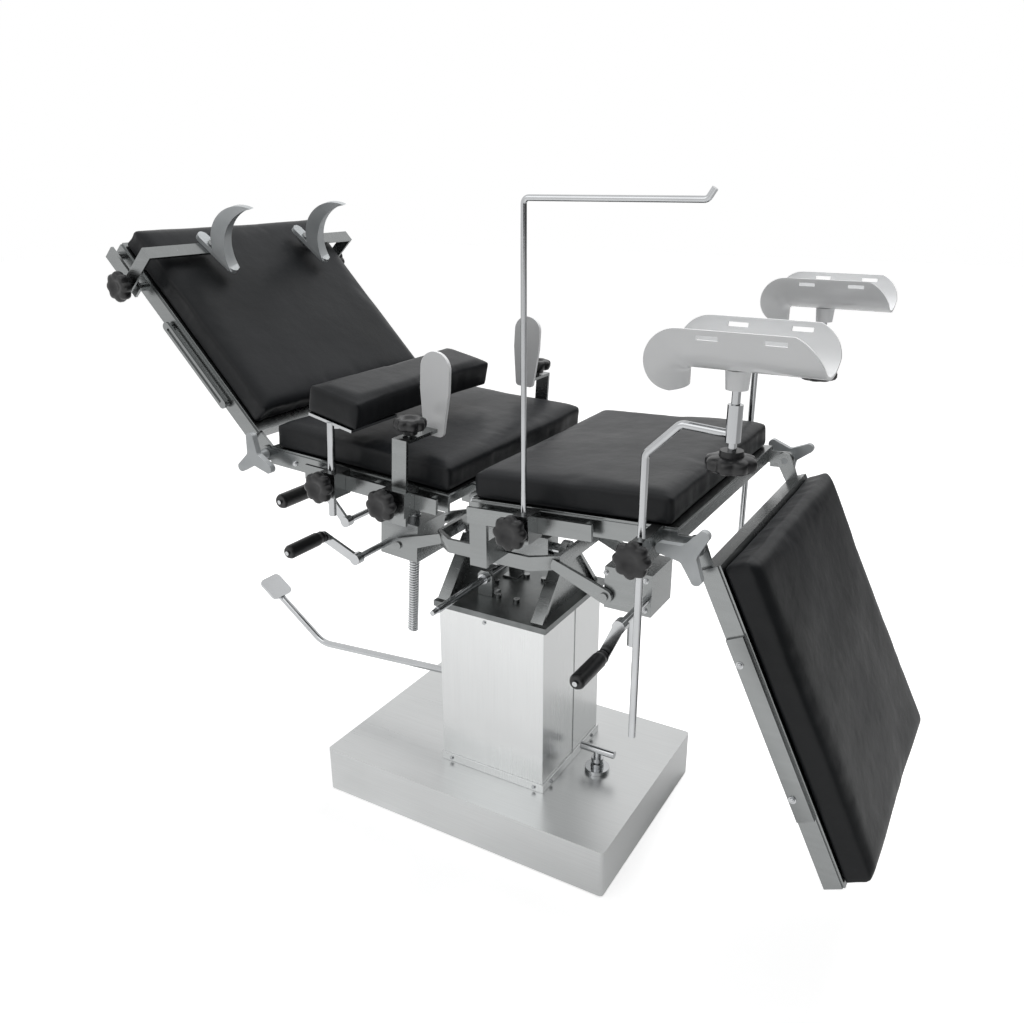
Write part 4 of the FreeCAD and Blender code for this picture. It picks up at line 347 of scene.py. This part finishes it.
# Threaded jack screw.
# A trapezoidal thread runs the length of the head end's screw; the groove is cut below the bar's
# own radius, so it still passes through its bush.
def tilted(point, degrees):
    return Matrix.Translation(point) @ Matrix.Rotation(math.radians(degrees), 4, "Y")


JACK = tilted((-0.212, 0, 0.563), 4.3)
screw_side, bar_radius, groove, pitch = -0.037, 0.0115, 0.0018, 0.006
thread_low, thread_high, eye_top = -0.226, 0.182, 0.2025
flank_start, flank_slope = 2.6, 6.5
finished("jack_screw_lumbar", bright, "bright_steel", 0.0005,
         [(JACK @ Vector((0, screw_side, 0)), JACK.to_3x3() @ Vector((0, 0, 1)), bar_radius + 0.0004,
           thread_low - 0.0005, eye_top)])
round_steps, pitch_steps = 28, 6
turns = round((thread_high - thread_low) / pitch)
verts, faces = [], []
for ring in range(turns * pitch_steps + 1):
    height = thread_low + ring * pitch / pitch_steps
    for step in range(round_steps):
        angle = step / round_steps
        phase = (ring / pitch_steps - angle) % 1.0
        depth = groove * min(1.0, max(0.0, flank_start - abs(phase - 0.5) * flank_slope))
        reach = bar_radius - depth
        verts.append(JACK @ Vector((reach * math.cos(angle * math.tau),
                                    screw_side + reach * math.sin(angle * math.tau), height)))
for ring in range(turns * pitch_steps):
    for step in range(round_steps):
        here = ring * round_steps + step
        there = ring * round_steps + (step + 1) % round_steps
        faces.append((here, there, there + round_steps, here + round_steps))
faces.append(tuple(reversed(range(round_steps))))
faces.append(tuple(range(len(verts) - round_steps, len(verts))))
thread_mesh = bpy.data.meshes.new("jack_thread")
thread_mesh.from_pydata(verts, [], faces)
thread_mesh.materials.append(bright)
thread = bpy.data.objects.new("jack_thread", thread_mesh)
shade_by_angle(thread_mesh, 30)
shown(thread, "head_screw", "bright_steel")


# Star knobs.
# Eight-lobed knobs moulded in black plastic, dished in the middle, with a steel insert; they
# tighten the rail clamps, the shoulder straps and the leg supports.
plastic = Finish("black_plastic", (0.010, 0.010, 0.011), 0.34)
plastic_grain = plastic.clouds(420.0, 3.0)
plastic.set(Roughness=plastic_grain * 0.25 + 0.22)
plastic.relief(plastic_grain, 0.00012, 0.4)
SEAT = tilted((0.054, 0, 0.740), -2.7)
LUMBAR = tilted((0.054, 0, 0.740), 3.7)
BACK = LUMBAR @ tilted((-0.450, 0, 0.008), 42.8)
LEG = SEAT @ tilted((0.422, 0, -0.002), 67.0)
ARM = LUMBAR @ tilted((-0.250, 0, 0.116), 8.3)
DOWN, NEAR, FAR = Vector((0, 0, -1)), Vector((0, -1, 0)), Vector((0, 1, 0))
# Share of the radius and height, from the dished top round the rim to the foot of the boss.
knob_profile = ((0.0, 0.0165), (0.30, 0.0165), (0.42, 0.0195), (0.80, 0.0195), (0.93, 0.0175),
                (1.0, 0.0135), (1.0, 0.0065), (0.93, 0.002), (0.78, 0.0), (0.48, -0.001),
                (0.44, -0.0085), (0.0, -0.0085))
lobes, lobe_start, lobe_depth = 8, 0.4, 0.15


def star_knob(name, body, centre, out, radius=0.0295):
    """A lobed knob about an axis; out points away from what it tightens."""
    spin = out.to_track_quat("Z", "Y").to_matrix()
    steps, verts, faces = 96, [], []
    for share, height in knob_profile:
        lobed = max(0.0, (share - lobe_start) / (1 - lobe_start))
        for step in range(steps if share else 1):
            angle = step / steps * math.tau
            wave = 0.5 + 0.5 * math.cos(lobes * angle)
            reach = radius * share * (1 - lobe_depth * lobed * (1 - wave ** 0.6))
            verts.append(centre + spin @ Vector((reach * math.cos(angle), reach * math.sin(angle),
                                                 height)))
    rings = [1 + row * steps for row in range(len(knob_profile) - 2)]
    last = len(verts) - 1
    for step in range(steps):
        onward = (step + 1) % steps
        faces.append((0, rings[0] + step, rings[0] + onward))
        for above, below in zip(rings, rings[1:]):
            faces.append((above + onward, above + step, below + step, below + onward))
        faces.append((last, rings[-1] + onward, rings[-1] + step))
    mesh = bpy.data.meshes.new(name)
    mesh.from_pydata(verts, [], faces)
    shape = bmesh.new()
    shape.from_mesh(mesh)
    bmesh.ops.recalc_face_normals(shape, faces=shape.faces)
    shape.to_mesh(mesh)
    shape.free()
    mesh.materials.append(plastic.material)
    shade_by_angle(mesh, 50)
    return shown(bpy.data.objects.new(name, mesh), body, "black_plastic")


def knob_zone(centre, out):
    """The round zone that holds a knob's plain head on the solid part."""
    return centre, out, 0.0302, -0.0005, 0.0205


lumbar_knob_y, lumbar_knob_z = 0.3216, 0.004
lumbar_knobs = [(LUMBAR @ Vector((along, side * lumbar_knob_y, lumbar_knob_z)), out)
                for along, side, out in ((-0.254, -1, NEAR), (-0.114, -1, NEAR), (-0.166, 1, FAR))]
finished("lumbar_clamps", satin, "brushed_steel", 0.0008, [knob_zone(*spot) for spot in lumbar_knobs])
for index, (centre, out) in enumerate(lumbar_knobs):
    star_knob("lumbar_knob_%d" % index, "lumbar", centre, out)
strap_knobs = [(BACK @ Vector((-0.424, side * 0.303, -0.003)), out)
               for side, out in ((-1, NEAR), (1, FAR))]
finished("shoulder_straps", satin, "brushed_steel", 0.0008, [knob_zone(*spot) for spot in strap_knobs])
for index, (centre, out) in enumerate(strap_knobs):
    star_knob("strap_knob_%d" % index, "back", centre, out)
leg_knob_radius = 0.036
for side, place in (("near", (0.539, -0.325, 0.927)), ("far", (0.504, 0.325, 0.927))):
    finished("leg_rod_" + side, bright, "bright_steel", 0.0006, [knob_zone(Vector(place), DOWN)])
    star_knob("leg_star_" + side, "leg_rod_%s_body" % side, Vector(place), DOWN,
              leg_knob_radius)
knob_depth = 0.020
for node in ("screen_knob", "leg_clamp_knob"):
    low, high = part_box(node)
    centre = (low + high) / 2
    centre.y = low.y + knob_depth
    finished(node, plastic.material, "black_plastic", 0, [knob_zone(centre, NEAR)])
    star_knob(node + "_star", carrier[node], centre, NEAR)

# Crank grips.
# Turned black plastic sleeves that spin on the crank's bolt.
for node in ("grip_lumbar", "grip_seat", "grip_back"):
    finished(node, plastic.material, "black_plastic", 0.0012)

# Clamp levers and shoulder horns.
# Sand castings, ground smooth and sprayed grey; the grey is a little darker in random patches.
casting = Finish("grey_casting", (0.50, 0.52, 0.53), 0.36, Metallic=0.3)
casting_skin = casting.clouds(160.0, 4.0)
casting.set(Base_Color=casting.between(casting.clouds(14.0, 3.0), (0.38, 0.40, 0.41),
                                       (0.50, 0.52, 0.53)),
            Roughness=casting_skin * 0.16 + 0.28)
casting.relief(casting_skin, 0.0002, 0.25)
for node in ("wing_lever_back", "wing_lever_leg_near", "wing_lever_leg_far"):
    finished(node, casting.material, "grey_casting", 0.0028)
for node in ("horn_near", "horn_far"):
    finished(node, casting.material, "grey_casting", 0.0022)

# Leg troughs and side paddles.
# Glossy white mouldings; the paddles are screwed to flat steel posts and carry a black cap.
shell = Finish("white_shell", (0.82, 0.83, 0.84), 0.16)
shell_cloud = shell.clouds(9.0, 2.0)
shell.set(Base_Color=shell.between(shell_cloud, (0.80, 0.81, 0.82), (0.85, 0.86, 0.865)),
          Roughness=shell_cloud * 0.1 + 0.10)
for node in ("trough_near", "trough_far"):
    finished(node, shell.material, "white_shell", 0.0012)
to_local = LUMBAR.inverted()
up = LUMBAR.to_3x3() @ Vector((0, 0, 1))
paddle_middle, paddle_half = 0.2075, 0.0042
cap_zone, cap_radius = (0.0302, -0.0005, 0.0165), 0.0290
for side, sign, place in (("near", -1, -0.098), ("far", 1, -0.150)):
    cap = LUMBAR @ Vector((place, sign * 0.272, 0.130))

    def on_paddle(spot, sign=sign):
        here = to_local @ spot
        return abs(here.y - sign * paddle_middle) < paddle_half

    finished("side_support_" + side, satin, "brushed_steel", 0.0012,
             [(cap, up, *cap_zone)], second=(shell.material, on_paddle))
    star_knob("side_cap_" + side, "side_support_%s_body" % side, cap, up, cap_radius)


# Screws.
# Low round screw heads in bright steel, each on a thin washer, set where the sheet metal, the foot
# end's gearbox and the sections' side bars are fastened.
def screw_tree():
    """Washer, head and a low dome, in shares of the head's radius, on each point."""
    tree = bpy.data.node_groups.new("screw_heads", "GeometryNodeTree")
    tree.interface.new_socket("Points", in_out="INPUT", socket_type="NodeSocketGeometry")
    radius = tree.interface.new_socket("Radius", in_out="INPUT", socket_type="NodeSocketFloat")
    tree.interface.new_socket("Heads", in_out="OUTPUT", socket_type="NodeSocketGeometry")

    def made(kind, **sockets):
        node = tree.nodes.new(kind)
        for word, value in sockets.items():
            place = node.inputs[word.replace("_", " ")]
            if isinstance(value, bpy.types.NodeSocket):
                tree.links.new(value, place)
            else:
                place.default_value = value
        return node

    into = tree.nodes.new("NodeGroupInput")
    points = into.outputs["Points"]
    size = into.outputs["Radius"]

    def share(of):
        node = made("ShaderNodeMath")
        node.operation = "MULTIPLY"
        tree.links.new(size, node.inputs[0])
        node.inputs[1].default_value = of
        return node.outputs[0]

    washer = made("GeometryNodeMeshCylinder", Vertices=24, Radius=share(1.45), Depth=share(0.5))
    head = made("GeometryNodeMeshCylinder", Vertices=20, Radius=size, Depth=share(1.7))
    dome = made("GeometryNodeMeshUVSphere", Segments=20, Rings=10, Radius=share(0.82))
    flatten = made("GeometryNodeTransform", Geometry=dome.outputs["Mesh"], Translation=(0, 0, 0))
    low = made("ShaderNodeCombineXYZ", Z=share(0.72))
    tree.links.new(low.outputs[0], flatten.inputs["Translation"])
    flatten.inputs["Scale"].default_value = (1, 1, 0.45)
    join = tree.nodes.new("GeometryNodeJoinGeometry")
    for part in (washer.outputs["Mesh"], head.outputs["Mesh"], flatten.outputs["Geometry"]):
        tree.links.new(part, join.inputs["Geometry"])
    facing = made("GeometryNodeInputNamedAttribute")
    facing.data_type = "FLOAT_VECTOR"
    facing.inputs["Name"].default_value = "facing"
    turn = made("FunctionNodeAlignEulerToVector")
    turn.axis = "Z"
    tree.links.new(facing.outputs["Attribute"], turn.inputs["Vector"])
    spread = made("GeometryNodeInstanceOnPoints", Points=points, Instance=join.outputs["Geometry"])
    tree.links.new(turn.outputs["Rotation"], spread.inputs["Rotation"])
    real = made("GeometryNodeRealizeInstances", Geometry=spread.outputs["Instances"])
    paint = made("GeometryNodeSetMaterial", Geometry=real.outputs["Geometry"], Material=bright)
    out = tree.nodes.new("NodeGroupOutput")
    tree.links.new(paint.outputs["Geometry"], out.inputs["Heads"])
    return tree, radius.identifier


def screws(name, body, size, spots):
    """Heads of one size on one body; a spot is a point and the way that the head faces."""
    mesh = bpy.data.meshes.new(name)
    mesh.from_pydata([tuple(point) for point, facing in spots], [], [])
    facing_values = mesh.attributes.new("facing", "FLOAT_VECTOR", "POINT")
    facing_values.data.foreach_set("vector",
                                   [value for point, facing in spots for value in facing])
    piece = bpy.data.objects.new(name, mesh)
    bpy.context.scene.collection.objects.link(piece)
    tree, size_socket = screw_tree()
    heads = piece.modifiers.new("heads", "NODES")
    heads.node_group = tree
    heads[size_socket] = size
    settled(piece)
    shade_by_angle(piece.data, 40)
    return shown(piece, body, "bright_steel")


FOOT = Vector((1, 0, 0))
skirt_z, skirt_y, skirt_x = 0.113, -0.1302, 0.1522
screws("cover_screws", "base", 0.0032,
       [((0.015, -0.1262, 0.455), NEAR), ((-0.070, skirt_y, skirt_z), NEAR),
        ((0.130, skirt_y, skirt_z), NEAR), ((skirt_x, -0.095, skirt_z), FOOT),
        ((skirt_x, 0.095, skirt_z), FOOT)])
bar_face, plate_face, bar_screw = 0.2606, 0.2652, 0.0042
screws("lumbar_screws", "lumbar", bar_screw,
       [(LUMBAR @ Vector((along, -bar_face, 0.004)), NEAR) for along in (-0.082, -0.375)])
screws("seat_screws", "seat", bar_screw, [(SEAT @ Vector((0.345, -bar_face, 0.006)), NEAR)])
screws("leg_screws", "leg", bar_screw,
       [(LEG @ Vector((along, side * plate_face, 0.001)), out)
        for side, out in ((-1, NEAR), (1, FAR)) for along in (0.193, 0.423)])
box_low, box_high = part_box("gearbox_seat")
cover_y, cover_inset = -0.0865, 0.012
screws("foot_gearbox_screws", "foot_gearbox", 0.0036,
       [((x, cover_y, z), NEAR) for x in (box_low.x + cover_inset, box_high.x - cover_inset)
        for z in (box_low.z + cover_inset, box_high.z - cover_inset)])

# Side plates of the leg section and the column's seam.
# A flat strip stiffens each side bar of the leg section between two screws; the cover's sheet
# meets in one upright seam on its foot side.
def flat_plate(name, frame_of, corner, opposite, body):
    """A flat bar between two opposite corners, given in a section's own frame."""
    verts = [frame_of @ Vector((x, y, z)) for x in (corner[0], opposite[0])
             for y in (corner[1], opposite[1]) for z in (corner[2], opposite[2])]
    mesh = bpy.data.meshes.new(name)
    mesh.from_pydata(verts, [], [(0, 1, 3, 2), (4, 6, 7, 5), (0, 4, 5, 1), (2, 3, 7, 6), (0, 2, 6, 4),
                                 (1, 5, 7, 3)])
    shape = bmesh.new()
    shape.from_mesh(mesh)
    bmesh.ops.recalc_face_normals(shape, faces=shape.faces)
    bmesh.ops.bevel(shape, geom=list(shape.edges), offset=0.0008, segments=2, affect="EDGES",
                    profile=0.5)
    shape.to_mesh(mesh)
    shape.free()
    mesh.materials.append(satin)
    shade_by_angle(mesh, soft_corner)
    return shown(bpy.data.objects.new(name, mesh), body, "brushed_steel")


flat_plate("leg_plate_near", LEG, (0.150, -0.2650, -0.0065), (0.463, -0.2598, 0.0225), "leg")
flat_plate("leg_plate_far", LEG, (0.150, 0.2598, -0.0065), (0.463, 0.2650, 0.0225), "leg")
flat_plate("cover_seam", Matrix.Identity(4), (0.1474, 0.006, 0.123), (0.1487, 0.010, 0.466), "base")


# Cushions.
# Foam blocks in black coated cloth, pulled over the edges and stapled under the boards, so the top
# is a little crowned, the sides are drawn in and pucker, and a seam runs round under the edge.
vinyl = Finish("black_vinyl", (0.010, 0.011, 0.012), 0.42)
vinyl.shader.inputs["Specular IOR Level"].default_value = 0.21
vinyl_grain = vinyl.node("TexVoronoi", output="Distance",
                         inputs={"Vector": vinyl.where(), "Scale": 620.0})
vinyl_creases = vinyl.clouds(30.0, 5.0)
vinyl_rub = vinyl.clouds(4.0, 3.0)
vinyl_folds = vinyl.clouds(7.0, 4.0, (1, 0.35, 1))
vinyl.set(Base_Color=vinyl.between(vinyl_rub, (0.007, 0.008, 0.009), (0.015, 0.016, 0.018)),
          Roughness=vinyl_rub * 0.22 + (vinyl_creases * 0.10 + 0.24))
vinyl.relief(vinyl_grain * 0.12 + (vinyl_creases + vinyl_folds * 2.0), 0.0016, 0.6)

cover_room = np.array((0.002, 0.002, 0.005))
cover_cell, most_blown = 0.0075, 0.006
drawn_in, seam_inset, seam_width = 0.016, 0.011, 0.0035


def blown(work):
    """The cover's vertices after a short cloth run with a little air pressure inside."""
    start = np.array([v.co for v in work.data.vertices])
    cloth = work.modifiers.new("cloth", "CLOTH")
    cloth.settings.quality = 4
    cloth.settings.mass = 0.4
    cloth.settings.tension_stiffness = 18
    cloth.settings.compression_stiffness = 18
    cloth.settings.bending_stiffness = 2.5
    cloth.settings.use_pressure = True
    cloth.settings.uniform_pressure_force = 4
    cloth.settings.effector_weights.gravity = 0
    for step in range(1, 21):
        bpy.context.scene.frame_set(step)
    graph = bpy.context.evaluated_depsgraph_get()
    moved = np.array([v.co for v in work.evaluated_get(graph).to_mesh().vertices]) - start
    work.evaluated_get(graph).to_mesh_clear()
    work.modifiers.clear()
    bpy.context.scene.frame_set(1)
    reach = np.linalg.norm(moved, axis=1, keepdims=True)
    return start + moved * np.minimum(1.0, most_blown / np.maximum(reach, 1e-9))


def cushion(node, section, body, puckers, seed):
    """A pad's cover, worked in its section's own frame: blown out, drawn in and puckered."""
    work = bpy.data.objects.new(node + "_cover", parts[node].data.copy())
    bpy.context.scene.collection.objects.link(work)
    work.data.transform(section.inverted())
    shape = bmesh.new()
    shape.from_mesh(work.data)
    bmesh.ops.remove_doubles(shape, verts=shape.verts, dist=1e-5)
    shape.to_mesh(work.data)
    shape.free()
    outline = np.array([v.co for v in work.data.vertices])
    low, high = outline.min(0), outline.max(0)
    middle, size = (low + high) / 2, high - low
    for vertex in work.data.vertices:
        vertex.co = Vector(middle + (np.array(vertex.co) - middle) * (size - cover_room) / size)
        vertex.co.z += 0.001 if vertex.co.z > middle[2] else -0.0034
    remesh = work.modifiers.new("remesh", "REMESH")
    remesh.mode = "VOXEL"
    remesh.voxel_size = cover_cell
    cut = settled(work)
    after = blown(work)
    bottom = low[2] + 0.0006
    to_end = np.minimum(after[:, 0] - low[0], high[0] - after[:, 0])
    to_side = np.minimum(after[:, 1] - low[1], high[1] - after[:, 1])
    edge = np.minimum(to_end, to_side)
    tall = np.clip((after[:, 2] - low[2]) / size[2], 0, 1)
    for index, (x, y, z) in enumerate(after):
        if to_end[index] < to_side[index]:
            inward = np.array((1 if middle[0] > x else -1, 0, 0))
        else:
            inward = np.array((0, 1 if middle[1] > y else -1, 0))
        fine = noise.noise(Vector((x * 46 + seed, y * 46, seed)))
        finest = noise.noise(Vector((x * 110, y * 110 + seed, z * 30)))
        broad = noise.noise(Vector((x * 17 + seed, y * 17, z * 22)))
        depth = 0.0016 + 0.0024 * (fine + 0.6 * finest) + 0.0034 * broad
        side = max(0.0, 1 - max(edge[index], 0) / drawn_in)
        pull = side * math.sin(math.pi * min(1.0, tall[index] * 1.1)) * puckers
        after[index] += inward * (pull * depth)
        seam = math.exp(-((edge[index] - seam_inset) / seam_width) ** 2) if tall[index] > 0.8 else 0
        swell = 0.0017 * noise.noise(Vector((x * 9, y * 9, seed + 4)))
        after[index][2] += swell - seam * 0.0016
        if z < bottom + 0.004:
            after[index][2] = max(bottom, after[index][2] if z > bottom + 0.003 else bottom)
    for vertex, place in zip(cut.vertices, after):
        vertex.co = Vector(place)
    smooth = work.modifiers.new("smooth", "SUBSURF")
    smooth.levels = 1
    smooth.render_levels = 1
    done = settled(work)
    done.transform(section)
    done.materials.clear()
    done.materials.append(vinyl.material)
    done.polygons.foreach_set("use_smooth", [True] * len(done.polygons))
    shown(work, body, "black_vinyl", node)


for cushion_node, section, body, puckers, seed in (
        ("seat_pad", SEAT, "seat", 1.0, 1.3), ("lumbar_pad", LUMBAR, "lumbar", 1.0, 7.1),
        ("back_pad", BACK, "back", 1.8, 13.7),
        ("leg_pad", LEG, "leg", 1.2, 33.3), ("arm_pad", ARM, "arm_pad_body", 0.6, 41.2)):
    cushion(cushion_node, section, body, puckers, seed)


bpy.context.scene.view_settings.view_transform = "Standard"
